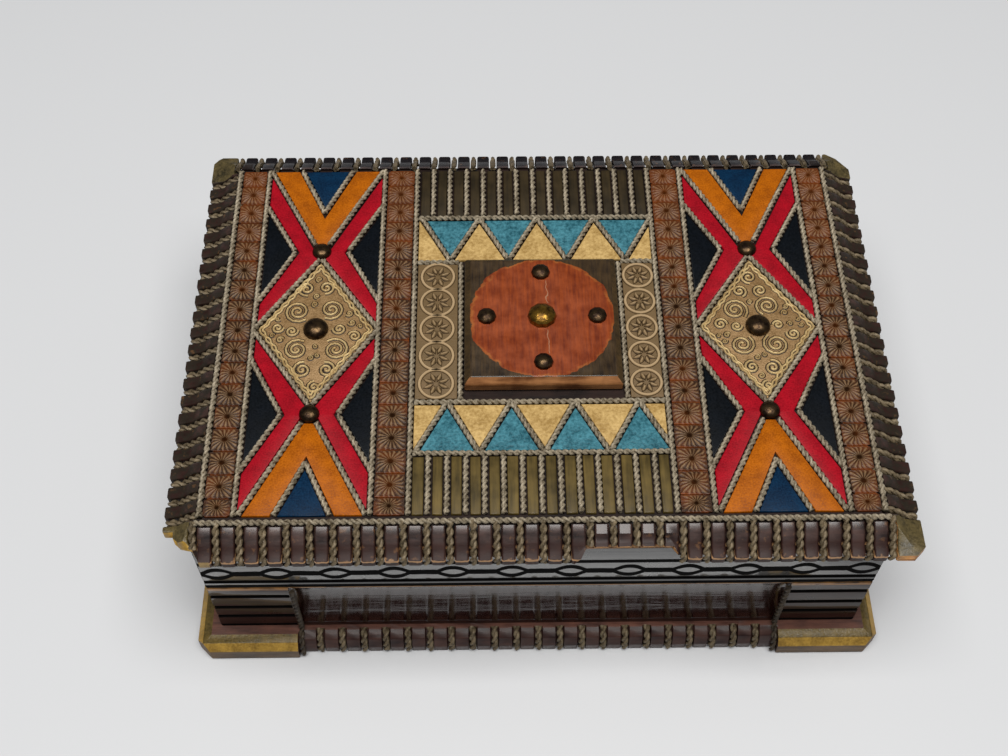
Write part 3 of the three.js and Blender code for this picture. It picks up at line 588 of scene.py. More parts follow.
def spun(bm, profile, x, y, segments):  # turns a profile once round an upright axis
    bmesh.ops.spin(bm, geom=profile, cent=(x, y, 0), axis=(0, 0, 1), dvec=(0, 0, 0), angle=2 * math.pi,
                   steps=segments, use_merge=True, use_normal_flip=False, use_duplicate=False)


def addDome(bm, x, y, seat, radius, rise, segments, rings):
    angles = [math.pi / 2 * i / rings for i in range(rings + 1)]
    row = [bm.verts.new((x + radius * math.cos(a), y, seat + rise * math.sin(a))) for a in angles]
    spun(bm, row + [bm.edges.new(pair) for pair in zip(row, row[1:])], x, y, segments)
    bmesh.ops.remove_doubles(bm, verts=bm.verts, dist=0.001)
    bmesh.ops.edgeloop_fill(bm, edges=[edge for edge in bm.edges if edge.is_boundary])


def addBedded(bm, points, side, radius):  # a twist with a plain core at the notch's floor
    addTwist(bm, points, side, radius, crossPitch)
    neverTurns = 10000
    addStrand(bm, [Vector(p) for p in points], Vector(side), radius * 1.2, neverTurns, math.pi)


def addWires(name, bm, replaced=(), metal=panelWire, body="lid"):
    addMesh(name, bm, [metal], body, replaced, 60)


# Rim of the lid
rimSizes = {
    "radius": 11.0, "start": math.radians(12), "end": math.radians(52), "beadZ": 64.6,
    "frontWires": 31, "frontPitch": 6.43, "sideWires": 21, "sidePitch": 6.2,
    "backRadius": 0.95, "sideRadius": 1.0,
    "split": (11, 37), "brokenCorner": -96,  # the front wires here are cut short
}


def rimPoint(angle, inset=0.0):
    radius = rimSizes["radius"]
    out = (radius - inset) * math.sin(angle) - radius * math.sin(rimSizes["start"])
    drop = radius * math.cos(rimSizes["start"]) - (radius - inset) * math.cos(angle)
    return out, panelTop - drop


def rimCurve(inset):
    turn = rimSizes["end"] - rimSizes["start"]
    return [rimPoint(rimSizes["start"] + turn * t, inset) for t in (0.1, 0.4, 0.7, 0.95)]


def overBead(arris, drop, out):  # the last stretch of a wire, from the arris over the lower bead
    edgeOut, edgeZ = rimPoint(rimSizes["end"])
    return [(edgeOut + arris, edgeZ - drop), (out, rimSizes["beadZ"]), (out + 0.1, lidBottom + 0.1)]


def evenly(count, pitch):
    return [(i - count // 2) * pitch for i in range(count)]


crossRoute = [(-0.5, wireZ)] + rimCurve(0.25) + overBead(0.7, 1.0, 8.6)
sideRoute = [(-0.5, wireZ)] + rimCurve(0.8) + overBead(0.5, 1.3, 9.5)
backRoute = [(out - 0.3, z - 0.5) for out, z in rimCurve(0.25)] + overBead(0.3, 1.3, 8.4)


def roundTeeth(bm):
    flanks = []
    for edge in bm.edges:
        if len(edge.link_faces) != 2 or not edge.is_convex or edge.calc_length() < 0.8:
            continue
        middle = (edge.verts[0].co + edge.verts[1].co) / 2
        for along, beyond in ((0, abs(middle.y) - halfY), (1, abs(middle.x) - halfX)):
            slants = sorted(abs(face.normal[along]) for face in edge.link_faces)
            if beyond > 0.4 and middle.z > lidBottom + 0.4 and slants[0] < 0.1 and slants[1] > 0.97:
                flanks.append(edge)
                break
    bmesh.ops.bevel(bm, geom=flanks, offset=0.6, segments=3, profile=0.5, affect="EDGES", material=-1)


# Where the lid is broken, and so shows bare or gilt wood
lidBreaks = {"splitFrom": 5.5, "splitTo": 42.5, "splitDepth": 6.5, "frontLeft": -93, "backRight": 95}


def lidBoard():
    bm = copyOf("lid_board")
    roundTeeth(bm)

    def pick(middle, normal):
        alongSplit = lidBreaks["splitFrom"] < middle.x < lidBreaks["splitTo"]
        behindEdge = 0.05 < middle.y + lidY < lidBreaks["splitDepth"]
        if alongSplit and behindEdge and -0.9 < normal.z < -0.2:
            return 2
        upright = abs(normal.z) < 0.2
        if middle.x < lidBreaks["frontLeft"] and middle.y < -halfY and upright and normal.x + normal.y < -0.4:
            return 3
        leaning = -0.1 < normal.z < 0.3
        if middle.x > lidBreaks["backRight"] and middle.y > halfY and leaning and 0.3 < normal.x < 0.95:
            return 3
        if normal.z < -0.9 and middle.z < lidBottom + 0.1:
            return 4
        # The panel floor seen in the gaps takes the near-black wood, a painted shade.
        inPanel = abs(middle.x) < halfX + 1.5 and abs(middle.y) < halfY + 1.5
        if inPanel and middle.z < panelTop - 0.3:
            return 1
        if abs(middle.x) > halfX + 2.5 and abs(middle.y) > halfY - 1.5:
            return 2 if middle.x > 0 > middle.y and normal.z < 0.3 else 5
        return 0

    paintFaces(bm, pick)
    piece = addMesh("lid_carved", bm, [rimDark, panelDark, bare, cornerGold, insideWood, lidOlive], "lid",
                    ["lid_board"], 40)
    bevelled(piece, 0.35)


def rimWires():
    frontPlaces = evenly(rimSizes["frontWires"], rimSizes["frontPitch"])
    splitFrom, splitTo = rimSizes["split"]
    bm = bmesh.new()
    for x in frontPlaces:
        cutShort = splitFrom < x < splitTo or x < rimSizes["brokenCorner"]
        route = crossRoute[:-3] if cutShort else crossRoute
        addTwist(bm, [(x, -halfY - out, z) for out, z in route], (1, 0, 0), crossRadius, crossPitch)
    addWires("rim_wires_front", bm, metal=rimWire)
    bm = bmesh.new()
    for x in frontPlaces:
        addBedded(bm, [(x, halfY + out, z) for out, z in backRoute], (-1, 0, 0), rimSizes["backRadius"])
    addWires("rim_wires_back", bm, metal=rimWire)
    for name, s in (("left", -1), ("right", 1)):
        bm = bmesh.new()
        for y in evenly(rimSizes["sideWires"], rimSizes["sidePitch"]):
            path = [(s * (halfX + out), y, z) for out, z in sideRoute]
            addBedded(bm, path, (0, -s, 0), rimSizes["sideRadius"])
        addWires("rim_wires_" + name, bm, metal=rimWire)


# Painted fields and the wires between them
fieldSizes = {
    "blueHalf": 8.8, "blueTip": 46.0, "waist": 32.0, "waistHalf": 2,  # waist: beside the nail
    "navyOuter": 49.3, "navyInner": 10, "navyTipX": 8.2, "navyTipY": 30,
}


def fieldOutlines(sy):  # a half of a side field, to the back with sy 1 and to the front with -1
    end = sy * halfY
    blueHalf = fieldSizes["blueHalf"]
    blueTip = (0, sy * fieldSizes["blueTip"])
    waist = [(side * fieldSizes["waistHalf"], sy * fieldSizes["waist"]) for side in (-1, 1)]
    outer = sy * fieldSizes["navyOuter"]
    inner = sy * fieldSizes["navyInner"]
    tipX = fieldSizes["navyTipX"]
    tipY = sy * fieldSizes["navyTipY"]
    blue = [(-blueHalf, end), (blueHalf, end), blueTip]
    orange = [(-fieldHalf, end), (-blueHalf, end), blueTip, (blueHalf, end), (fieldHalf, end),
              waist[1], waist[0]]
    red = [(-fieldHalf, end), waist[0], waist[1], (fieldHalf, end), (fieldHalf, outer), (tipX, tipY),
           (fieldHalf, inner), (fieldHalf, 0), (0, sy * diamondHalf), (-fieldHalf, 0), (-fieldHalf, inner),
           (-tipX, tipY), (-fieldHalf, outer)]
    navy = [[(s * fieldHalf, outer), (s * tipX, tipY), (s * fieldHalf, inner)] for s in (-1, 1)]
    return blue, orange, red, navy


def openEdges(outline, gap, ends):  # edges on the panel's end take the gap of the end
    gaps = []
    for a, b in zip(outline, outline[1:] + outline[:1]):
        gaps.append(ends if abs(a[1]) == halfY and abs(b[1]) == halfY else gap)
    return gaps


padTops = {"red": 0.05, "orange": 0.05, "blue": -0.05, "navy": -0.25}  # above the panel


def addFields():
    for name, s in (("left", -1), ("right", 1)):
        middle = s * fieldMiddle
        shapes = {key: bmesh.new() for key in padTops}
        for sy in (-1, 1):
            blue, orange, red, navy = fieldOutlines(sy)
            end = 1.3 if sy > 0 else 2.1
            outlines = [("blue", blue), ("orange", orange), ("red", red)]
            for key, outline in outlines + [("navy", triangle) for triangle in navy]:
                inside = insetPolygon(outline, openEdges(outline, padGap, end))
                shape = [(middle + x, y) for x, y in inside]
                addPad(shapes[key], shape, panelFloor, panelTop + padTops[key], 0.28)
        for key, bm in shapes.items():
            addMesh("field_" + key + "_" + name, bm, [paints[key]], "lid", (), 50)


def addFieldWires():
    waist = fieldSizes["waist"]
    waistHalf = fieldSizes["waistHalf"]
    blueTip = fieldSizes["blueTip"]
    for name, s in (("left", -1), ("right", 1)):
        middle = s * fieldMiddle
        bm = bmesh.new()
        for x in (middle - fieldHalf, middle + fieldHalf):
            flatTwist(bm, (x, wireFront), (x, wireBack))
        for a, b in zip(diamondOutline, diamondOutline[1:] + diamondOutline[:1]):
            flatTwist(bm, (middle + a[0], a[1]), (middle + b[0], b[1]), trim=0.8)
        for sy in (-1, 1):
            edge = wireBack if sy > 0 else wireFront
            for t in (-1, 1):
                slope = (fieldHalf - waistHalf) / (halfY - waist)
                start = fieldHalf - (halfY - abs(edge)) * slope
                near = (middle + t * waistHalf, sy * (waist + 0.6))
                flatTwist(bm, (middle + t * start, edge), near, trim=0.4)
                tip = (middle + t * fieldSizes["navyTipX"], sy * fieldSizes["navyTipY"])
                for corner in (fieldSizes["navyOuter"], fieldSizes["navyInner"]):
                    flatTwist(bm, (middle + t * fieldHalf, sy * corner), tip, trim=0.3)
        addWires("field_twists_" + name, bm, ["field_wires_" + name])
        for end, sy in (("back", 1), ("front", -1)):
            bm = bmesh.new()
            edge = wireBack if sy > 0 else wireFront
            start = fieldSizes["blueHalf"] * (abs(edge) - blueTip) / (halfY - blueTip)
            for t in (-1, 1):
                flatTwist(bm, (middle + t * start, edge), (middle, sy * blueTip), trim=0.2)
            addWires("blue_twists_" + name + "_" + end, bm, ["blue_field_wire_" + name + "_" + end])
        bm = bmesh.new()
        flatTwist(bm, (s * halfX, wireFront), (s * halfX, wireBack))
        addWires("long_twist_" + name, bm, ["long_wire_" + name])
    bm = bmesh.new()
    bends = evenly(5, (halfX + 1) / 2)
    addTwist(bm, [(x, -halfY, wireZ) for x in bends], radius=longRadius + 0.05)
    addWires("border_twist_front", bm, ["border_wire_front"])


# Middle of the lid: bars, and bands of triangles
centreSizes = {
    "bars": 14, "triangles": 4,
    "tips": {1: (-26.4, 18.2), -1: (-26.8, 18.6)},  # first tip and pitch, at the back and at the front
}
bandInner = 26.2  # of the bands, along Y from the middle
bandOuter = 43.4


def bandTriangles(sy):
    start, pitch = centreSizes["tips"][sy]
    count = centreSizes["triangles"]
    root = sy * bandOuter
    tip = sy * bandInner
    blue = [[(start + (i - 0.5) * pitch, root), (start + (i + 0.5) * pitch, root), (start + i * pitch, tip)]
            for i in range(count)]
    pale = [[(start + (i - 1) * pitch, tip), (start + i * pitch, tip), (start + (i - 0.5) * pitch, root)]
            for i in range(1, count)]
    for x, s in ((start, -1), (start + (count - 1) * pitch, 1)):
        edge = s * centreHalf
        share = (edge - x) / (s * pitch / 2)
        pale.append([(edge, tip), (x, tip), (edge, tip + (root - tip) * share)])
    return blue, pale


def clipped(outline, sy, limit):  # the outline's part nearer than the limit along Y
    kept = []
    for a, b in zip(outline, outline[1:] + outline[:1]):
        if sy * a[1] <= limit:
            kept.append(a)
        if (sy * a[1] - limit) * (sy * b[1] - limit) < 0:
            share = (sy * limit - a[1]) / (b[1] - a[1])
            kept.append((a[0] + (b[0] - a[0]) * share, sy * limit))
    return kept


def addCentre():
    bars = {1: bmesh.new(), -1: bmesh.new()}
    blue = bmesh.new()
    cream = bmesh.new()
    count = centreSizes["bars"]
    bar = 2 * centreHalf / count
    for sy in (-1, 1):
        end = wireBack - 0.2 if sy > 0 else wireFront + 0.1
        for i in range(count):
            x = -centreHalf + (i + 0.5) * bar + random.uniform(-0.15, 0.15)
            half = bar / 2 - longRadius - random.uniform(0.25, 0.45)
            near = sy * (bandOuter + longRadius + 0.2)
            outline = [(x - half, near), (x + half, near), (x + half, end), (x - half, end)]
            addPad(bars[sy], outline, panelFloor, panelTop + random.uniform(0.0, 0.15), 0.3)
        turquoise, pale = bandTriangles(sy)
        for outline in turquoise:
            addPad(blue, insetPolygon(outline, [padGap] * 3), panelFloor, panelTop, 0.28)
        for outline in pale:
            inside = insetPolygon(outline, [padGap if sy < 0 else 0.2, padGap, padGap])
            addPad(cream, clipped(inside, sy, bandOuter - padGap), panelFloor, panelTop + 0.05, 0.28)
    addMesh("stripe_bars_back", bars[1], [paints["olive"]], "lid", (), 50)
    addMesh("stripe_bars_front", bars[-1], [paints["worn"]], "lid", (), 50)
    addMesh("triangles_turquoise", blue, [paints["turquoise"]], "lid", (), 50)
    addMesh("triangles_cream", cream, [paints["cream"]], "lid", (), 50)

    bm = bmesh.new()
    for x in (-centreHalf, centreHalf):
        flatTwist(bm, (x, wireFront), (x, wireBack))
    for sy in (-1, 1):
        end = wireBack if sy > 0 else wireFront
        root = sy * bandOuter
        tip = sy * bandInner
        flatTwist(bm, (-centreHalf, root), (centreHalf, root), trim=0.9)
        for i in range(1, count):
            x = -centreHalf + i * bar
            flatTwist(bm, (x, root + sy), (x, end), trim=0.2)
        start, pitch = centreSizes["tips"][sy]
        for i in range(centreSizes["triangles"]):
            x = start + i * pitch
            for t in (-1, 1):
                room = min(1, (centreHalf - abs(x)) / (pitch / 2)) if t * x > 0 else 1  # cut off at the strip
                flatTwist(bm, (x, tip), (x + t * room * pitch / 2, tip + (root - tip) * room), trim=0.6)
    flatTwist(bm, (-centreHalf, -bandInner), (centreHalf, -bandInner), trim=0.9)
    for x, s in zip(plaqueWires, (-1, 1)):
        flatTwist(bm, (x, -bandInner), (x, bandInner - 0.6), trim=0.8)
        flatTwist(bm, (s * centreHalf, bandInner - 0.8), (x, bandInner - 0.8), trim=0.8)
    addWires("centre_twists", bm, ["centre_wires"])


# Stamped tiles: a low cushion with a sunburst
tileSizes = {
    "pitch": 7.65, "tiles": 17, "rays": 17, "valley": 0.2,
    "levels": [(0.5, 0.1), (1.0, 0.34), (1.8, 0.42), (2.7, 0.3), (3.3, 0.12)],  # reach and height
}


def addTile(bm, raised, edge, x, y, halfWide, halfLong):
    spokes = 2 * tileSizes["rays"]
    tops = []
    middle = bm.verts.new((x, y, panelTop + 0.12))
    for r, lift in tileSizes["levels"]:
        row = []
        for j in range(spokes):
            a = 2 * math.pi * j / spokes
            ray = j % 2
            scale = min(1, (halfWide - 0.25) / 3.4, (halfLong - 0.25) / 3.4)
            square = max(abs(math.cos(a)), abs(math.sin(a))) ** (-0.24 * r)
            reach = r * scale * square * (1 + (0.04 * random.random() if r > 2 and ray else 0))
            v = bm.verts.new((x + reach * math.cos(a), y + 0.9 * reach * math.sin(a),
                              panelTop + 0.08 + lift - (0 if ray else tileSizes["valley"])))
            # The rays get the raised value, which the material paints lighter as a painted highlight.
            v[raised] = (0.6 + 0.4 * random.random()) * ray if r > 0.6 else 0.0
            row.append(v)
        tops.append(row)
    for z in (panelTop, panelFloor + 0.1):
        row = []
        for j in range(spokes):
            a = 2 * math.pi * j / spokes
            c = math.cos(a)
            s = math.sin(a)
            reach = min(halfWide / max(1e-6, abs(c)), halfLong / max(1e-6, abs(s)))
            v = bm.verts.new((x + reach * c, y + reach * s, z))
            v[edge] = 1.0 if abs(reach * s) > halfLong - 0.01 else 0.2
            row.append(v)
        tops.append(row)
    for j in range(spokes):
        bm.faces.new((middle, tops[0][j], tops[0][(j + 1) % spokes]))
    for low, high in zip(tops, tops[1:]):
        for j in range(spokes):
            bm.faces.new((low[j], low[(j + 1) % spokes], high[(j + 1) % spokes], high[j]))
    bm.faces.new(tops[-1][::-1])


def addRosettes():
    strips = {
        "outer_left": (-halfX, -fieldOuter), "inner_left": (-fieldInner, -centreHalf),
        "inner_right": (centreHalf, fieldInner), "outer_right": (fieldOuter, halfX),
    }
    for name, (x0, x1) in strips.items():
        bm = bmesh.new()
        raised = bm.verts.layers.float.new("raised")
        edge = bm.verts.layers.float.new("rim")
        for i in range(tileSizes["tiles"]):
            start = (i - tileSizes["tiles"] / 2) * tileSizes["pitch"]
            low = max(wireFront + 0.1, start + 0.12)
            high = min(wireBack - 0.1, start + tileSizes["pitch"] - 0.12)
            halfWide = (x1 - x0) / 2 - longRadius - 0.15
            addTile(bm, raised, edge, (x0 + x1) / 2, (low + high) / 2, halfWide, (high - low) / 2)
        addMesh("rosettes_" + name, bm, [rosetteWood], "lid", ["rosette_strip_" + name])


# Flowers in rings, beside the plaque
flowerSizes = {
    "flowers": 5, "pitch": 9.9, "ring": 4.95, "tube": 0.6, "segments": 28,
    "petals": 8, "petalStart": 0.25, "petalEnd": 4.5, "petalHalf": 1.15, "petalRise": 0.5,
}


def addRing(bm, x, y, z, radius, raised):
    tube = flowerSizes["tube"]
    row = []
    for k in range(6):
        t = 2 * math.pi * k / 6
        v = bm.verts.new((x + radius + tube * math.cos(t), y, z + tube * 0.8 * math.sin(t)))
        # The ring tops get the painted highlight, and their lower halves the painted shade.
        v[raised] = 1.0 if math.sin(t) > 0.1 else -1.0
        row.append(v)
    edges = [bm.edges.new(pair) for pair in zip(row, row[1:] + row[:1])]
    spun(bm, row + edges, x, y, flowerSizes["segments"])


def addPetal(bm, x, y, z, angle, farEnd, raised):
    near = flowerSizes["petalStart"]
    half = flowerSizes["petalHalf"]
    lift = flowerSizes["petalRise"]
    c = math.cos(angle)
    s = math.sin(angle)

    def at(r, w, h):
        v = bm.verts.new((x + r * c - w * s, y + r * s + w * c, z + h))
        # The petal tops get the painted highlight, and their bases the painted shade where they meet the pad.
        v[raised] = 1.0 if h > 0 else -2.0
        return v

    a = at(near, 0, -0.3)
    b = at(farEnd, 0, -0.3)
    left = at((near + farEnd) / 2, half, -0.3)
    right = at((near + farEnd) / 2, -half, -0.3)
    top = at(near + 0.3 * (farEnd - near), 0, lift)
    tail = at(near + 0.75 * (farEnd - near), 0, lift * 0.8)
    for corners in ((a, left, top), (left, b, tail), (left, tail, top), (a, top, right), (right, tail, b),
                    (right, top, tail), (a, right, b, left)):
        bm.faces.new(corners)


def addFlowers():
    for name, x0, x1 in (("left", -centreHalf, plaqueWires[0]), ("right", plaqueWires[1], centreHalf)):
        bm = bmesh.new()
        raised = bm.verts.layers.float.new("raised")
        bm.verts.layers.float.new("rim")
        x = (x0 + x1) / 2
        half = (x1 - x0) / 2 - longRadius - 0.1
        end = bandInner - 1.3
        outline = [(x - half, -end), (x + half, -end), (x + half, end), (x - half, end)]
        addPad(bm, outline, panelFloor, panelTop, 0.3)
        petals = flowerSizes["petals"]
        petalEnd = min(flowerSizes["petalEnd"], half - 0.7)
        for y in evenly(flowerSizes["flowers"], flowerSizes["pitch"]):
            addRing(bm, x, y, panelTop, min(flowerSizes["ring"], half - 0.4), raised)
            for j in range(petals):
                angle = (j + 0.5) * 2 * math.pi / petals
                addPetal(bm, x, y, panelTop + 0.1, angle, petalEnd, raised)
        addMesh("flowers_" + name, bm, [flowerWood], "lid", ["flower_strip_" + name], 30)


# Embossed diamonds
embossSizes = {
    "curls": 26, "curlRadius": (0.75, 1.15), "line": 0.38, "halo": 0.36, "height": 0.5, "edgeLine": 0.36,
    "borderInset": 1.55, "borderStep": 0.75, "wave": 0.22,
}
# Places of the large scrolls: x and y from the middle, and radius
scrolls = {
    "left": [(-3.8, 15.5, 2.7), (2.3, 15.9, 2.4), (-5.9, 6.9, 4.0), (4.3, 7.6, 3.7), (-7.2, -0.4, 1.9),
             (7.0, 0.3, 2.0), (11.7, -2.4, 1.9), (-5.4, -7.2, 3.7), (6.3, -7.2, 4.0), (-3.2, -14.5, 2.9),
             (4.0, -14.4, 2.7), (0.7, -20.6, 2.1), (-11.5, 0.8, 1.8)],
    "right": [(-0.7, 18.8, 2.5), (-4.2, 13.4, 2.3), (2.2, 13.6, 2.1), (-6.3, 6.3, 4.0), (3.9, 7.7, 3.8),
              (-11.2, 1.0, 2.1), (-6.4, 0.2, 1.7), (4.8, -6.6, 4.0), (-5.4, -6.6, 3.7), (10.4, -2.8, 2.1),
              (6.2, 0.6, 1.6), (-3.4, -14.7, 2.3), (2.8, -15.0, 2.8), (0.6, -21.4, 1.9)],
}


def addLine(bm, path, half, height, z, material):  # a low rounded line over the plate
    rows = []
    for i, p in enumerate(path):
        ahead = path[min(i + 1, len(path) - 1)] - path[max(i - 1, 0)]
        normal = Vector((-ahead.y, ahead.x)).normalized()
        row = []
        for w, h in ((-1, 0), (-0.6, 0.75), (0, 1), (0.6, 0.75), (1, 0)):
            q = p + normal * w * half
            row.append(bm.verts.new((q.x, q.y, z + h * height)))
        rows.append(row)
    made = [bm.faces.new(rows[0]), bm.faces.new(rows[-1][::-1])]
    for a, b in zip(rows, rows[1:]):
        for k in range(5):
            made.append(bm.faces.new((a[k], b[k], b[(k + 1) % 5], a[(k + 1) % 5])))
    for face in made:
        face.material_index = material


def scrollPath(x, y, radius, hand, start):
    path = []
    turns = 1.05 + 0.28 * radius
    steps = round(12 * turns)
    for i in range(steps + 1):
        t = i / steps
        a = start + hand * turns * 2 * math.pi * t
        r = radius * (1 - 0.9 * t)
        path.append(Vector((x + r * math.cos(a), y + r * math.sin(a))))
    return path


def smallCurls(found):  # short curls that fill the ground between the scrolls
    placed = list(found)
    curls = []
    tries = 4000
    toEdge = 15.5  # from the middle to the diamond's sides
    nailRoom = 4.3
    for _ in range(tries):
        x = random.uniform(-fieldHalf, fieldHalf)
        y = random.uniform(-diamondHalf, diamondHalf)
        radius = random.uniform(*embossSizes["curlRadius"])
        room = 1 - abs(x) / fieldHalf - abs(y) / diamondHalf
        clear = all(math.hypot(x - a, y - b) > r + radius + 0.55 for a, b, r in placed)
        if room * toEdge > radius + 2.7 and clear and math.hypot(x, y) > radius + nailRoom:
            placed.append((x, y, radius))
            curls.append((x, y, radius))
        if len(curls) == embossSizes["curls"]:
            break
    return curls


def wavyLine(a, b, wave):  # a line from one corner to the next that swings a little
    count = round((b - a).length / 0.5)
    side = Vector((-(b - a).y, (b - a).x)).normalized() * embossSizes["wave"]
    return [a.lerp(b, i / count) + side * math.sin(i * wave) for i in range(count + 1)]


def addDarkLine(bm, path, half, halo, haloHeight, height, top):  # a painted highlight line over a wider painted shade line
    addLine(bm, path, half + halo, haloHeight, top, 2)
    addLine(bm, path, half, height, top, 1)


def addDiamonds():
    for name, s in (("left", -1), ("right", 1)):
        middle = s * fieldMiddle
        bm = bmesh.new()
        outline = insetPolygon(diamondOutline, [longRadius + 0.1] * 4)
        addPad(bm, [(middle + x, y) for x, y in outline], panelFloor, panelTop + 0.05, 0.25)
        top = panelTop + 0.03
        for i, (x, y, radius) in enumerate(scrolls[name] + smallCurls(scrolls[name])):
            hand = 1 if i % 2 else -1
            path = scrollPath(middle + x, y, radius, hand, math.atan2(-y, -x))
            half = min(embossSizes["line"], 0.24 * radius)
            addDarkLine(bm, path, half, embossSizes["halo"], 0.12, embossSizes["height"], top)
        for k in (0, 1):
            inset = embossSizes["borderInset"] + embossSizes["borderStep"] * k
            border = insetPolygon(diamondOutline, [inset] * 4)
            height = embossSizes["height"] - 0.1 * k
            for a, b in zip(border, border[1:] + border[:1]):
                wavy = wavyLine(Vector(a), Vector(b), 0.9 + 0.1 * k)
                path = [Vector((middle + p.x, p.y)) for p in wavy]
                addDarkLine(bm, path, embossSizes["edgeLine"], 0.22, 0.1, height, top)
        addMesh("diamond_embossed_" + name, bm, [foilGold, foilHighlight, foilShade], "lid",
                ["diamond_" + name], 50)


def addPlaque():
    bm = copyOf("lid_plaque")
    # Top takes its paint; front faces the lighter wood, a painted highlight with some wear; other sides
    # plainer wood.
    paintFaces(bm, lambda middle, normal: 0 if normal.z > 0.9 else 1 if normal.y < -0.3 else 2)
    piece = addMesh("plaque_panel", bm, [plaqueTop, plaqueFrontHighlightAndWear, plaqueSide], "lid", ["lid_plaque"],
                    40)
    bevelled(piece, 0.5, 3)


nailSizes = {
    "fieldHead": 3.0, "fieldY": 30, "diamondHead": 3.8,
    "centreHead": 4.4, "plaqueHead": 2.9, "plaqueReach": 16.6, "plaqueTop": panelTop + 4.2,
    "rise": 0.62,  # the head's height for each mm of its radius
    "shank": 0.6, "shankLength": 4.6, "shankMiddle": 2.2,  # shankMiddle: below the seat
}


def addNails():
    nails = {}
    for name, s in (("left", -1), ("right", 1)):
        x = s * fieldMiddle
        nails[name + "_back"] = (x, nailSizes["fieldY"], panelTop, nailSizes["fieldHead"])
        nails[name + "_middle"] = (x, 0, panelTop + 0.3, nailSizes["diamondHead"])
        nails[name + "_front"] = (x, -nailSizes["fieldY"], panelTop, nailSizes["fieldHead"])
    top = nailSizes["plaqueTop"]
    reach = nailSizes["plaqueReach"]
    nails["plaque_centre"] = (plaqueX, plaqueY, top, nailSizes["centreHead"])
    for i, name in enumerate(("right", "back", "left", "front")):
        a = i * math.pi / 2
        place = (plaqueX + reach * math.cos(a), plaqueY + reach * math.sin(a))
        nails["plaque_" + name] = (*place, top, nailSizes["plaqueHead"])
    for name, (x, y, seat, radius) in nails.items():
        faceted = "plaque" in name
        segments, rings, smoothAngle = (10, 4, 28) if faceted else (18, 6, 60)
        bm = bmesh.new()
        addDome(bm, x, y, seat + 0.3, radius, nailSizes["rise"] * radius, segments, rings)
        shank = nailSizes["shank"]
        bmesh.ops.create_cone(bm, cap_ends=True, segments=6, radius1=shank, radius2=shank,
                              depth=nailSizes["shankLength"],
                              matrix=Matrix.Translation((x, y, seat - nailSizes["shankMiddle"])))
        metal = brightBrass if name == "plaque_centre" else nailBrass
        addMesh("domed_nail_" + name, bm, [metal], "lid", ["nail_" + name], smoothAngle)


# Body of the box
# Hollow of the walls: its heights, its depth and the flat room at its ends
coveSizes = {"bottom": 10.5, "top": 35.3, "deepest": 4, "endRoom": 1.5}


def addWalls():
    for side in ("front", "back", "left", "right"):
        bm = copyOf("wall_" + side)
        along, depth, half = (0, 1, stretchHalf) if side in ("front", "back") else (1, 0, sideStretchHalf)
        face = (wallX, wallY)[depth]
        for s in (-1, 1):
            cut = Vector((0, 0, 0))
            cut[along] = s
            bmesh.ops.bisect_plane(bm, geom=bm.verts[:] + bm.edges[:] + bm.faces[:],
                                   plane_co=cut * (half - coveSizes["endRoom"]), plane_no=cut)

        def pick(middle, normal):
            inside = abs(middle.x) < wallX - 7.5 and abs(middle.y) < wallY - 7.5
            if inside or abs(normal.z) > 0.9:
                return 1
            hollow = 0.05 < face - abs(middle[depth]) < coveSizes["deepest"] and abs(middle[along]) < half
            return 2 if hollow and coveSizes["bottom"] < middle.z < coveSizes["top"] else 0

        paintFaces(bm, pick)
        finishes = [wallOutside, insideWood, coveGloss]
        piece = addMesh("wall_panel_" + side, bm, finishes, "box", ["wall_" + side], 40)
        bevelled(piece, 0.2, 2, 40)


def addBase():
    bm = copyOf("base_board")

    def pick(middle, normal):
        atEnds = abs(middle.y) > wallY + 1.5
        corner = abs(middle.x) > stretchHalf + 0.7 if atEnds else abs(middle.y) > sideStretchHalf + 0.3
        if normal.z > 0.99:
            inside = abs(middle.x) < stretchHalf and abs(middle.y) < 40
            return 5 if inside else 1
        if corner and normal.z > 0.9:
            return 2
        if corner and normal.z > 0.2:
            return 3
        return 4 if corner and normal.z > -0.2 else 0

    paintFaces(bm, pick)
    piece = addMesh("base_plinth", bm, [darkWood, ledgeWood, cornerOlive, cornerGold, cornerSide, insideWood],
                    "box", ["base_board"], 40)
    bevelled(piece, 0.3)


# Wires over the base: spaces between them, then the round they follow
baseWires = {"spaces": 22, "top": 8.0, "ledge": 1.6, "out": 3.9, "drop": 5.0, "foot": 1.05}


def baseRoute(inset):  # over the base's round, as distances out from the wall and heights
    top = baseWires["top"] - inset
    route = [(1.1, top)]
    for i in range(5):
        a = i * math.pi / 8
        out = baseWires["ledge"] + (baseWires["out"] - inset) * math.sin(a)
        route.append((out, top - (baseWires["drop"] - inset) * (1 - math.cos(a))))
    route.append((baseWires["ledge"] + baseWires["out"] - inset, baseWires["foot"]))
    return route


def addBaseWires():
    bm = bmesh.new()
    spaces = baseWires["spaces"]
    for i in range(1, spaces):
        x = stretchHalf * (2 * i / spaces - 1) + random.uniform(-0.2, 0.2)
        addTwist(bm, [(x, -wallY - out, z) for out, z in baseRoute(0.35)], (1, 0, 0), crossRadius, crossPitch)
    addWires("base_wires_front", bm, metal=rimWire, body="box")
    for name, s in (("left", -1), ("right", 1)):
        bm = bmesh.new()
        x = s * (stretchHalf - longRadius - 0.3)
        route = [(1.1, 35.2), (1.1, 20.0), (1.1, 10.2)] + [(out + 0.1, z) for out, z in baseRoute(-0.8)[1:]]
        addTwist(bm, [(x, -wallY - out, z) for out, z in route], (1, 0, 0), longRadius + 0.1, 5.0)
        addWires("wall_twist_" + name, bm, ["wall_wire_" + name], darkWire, "box")


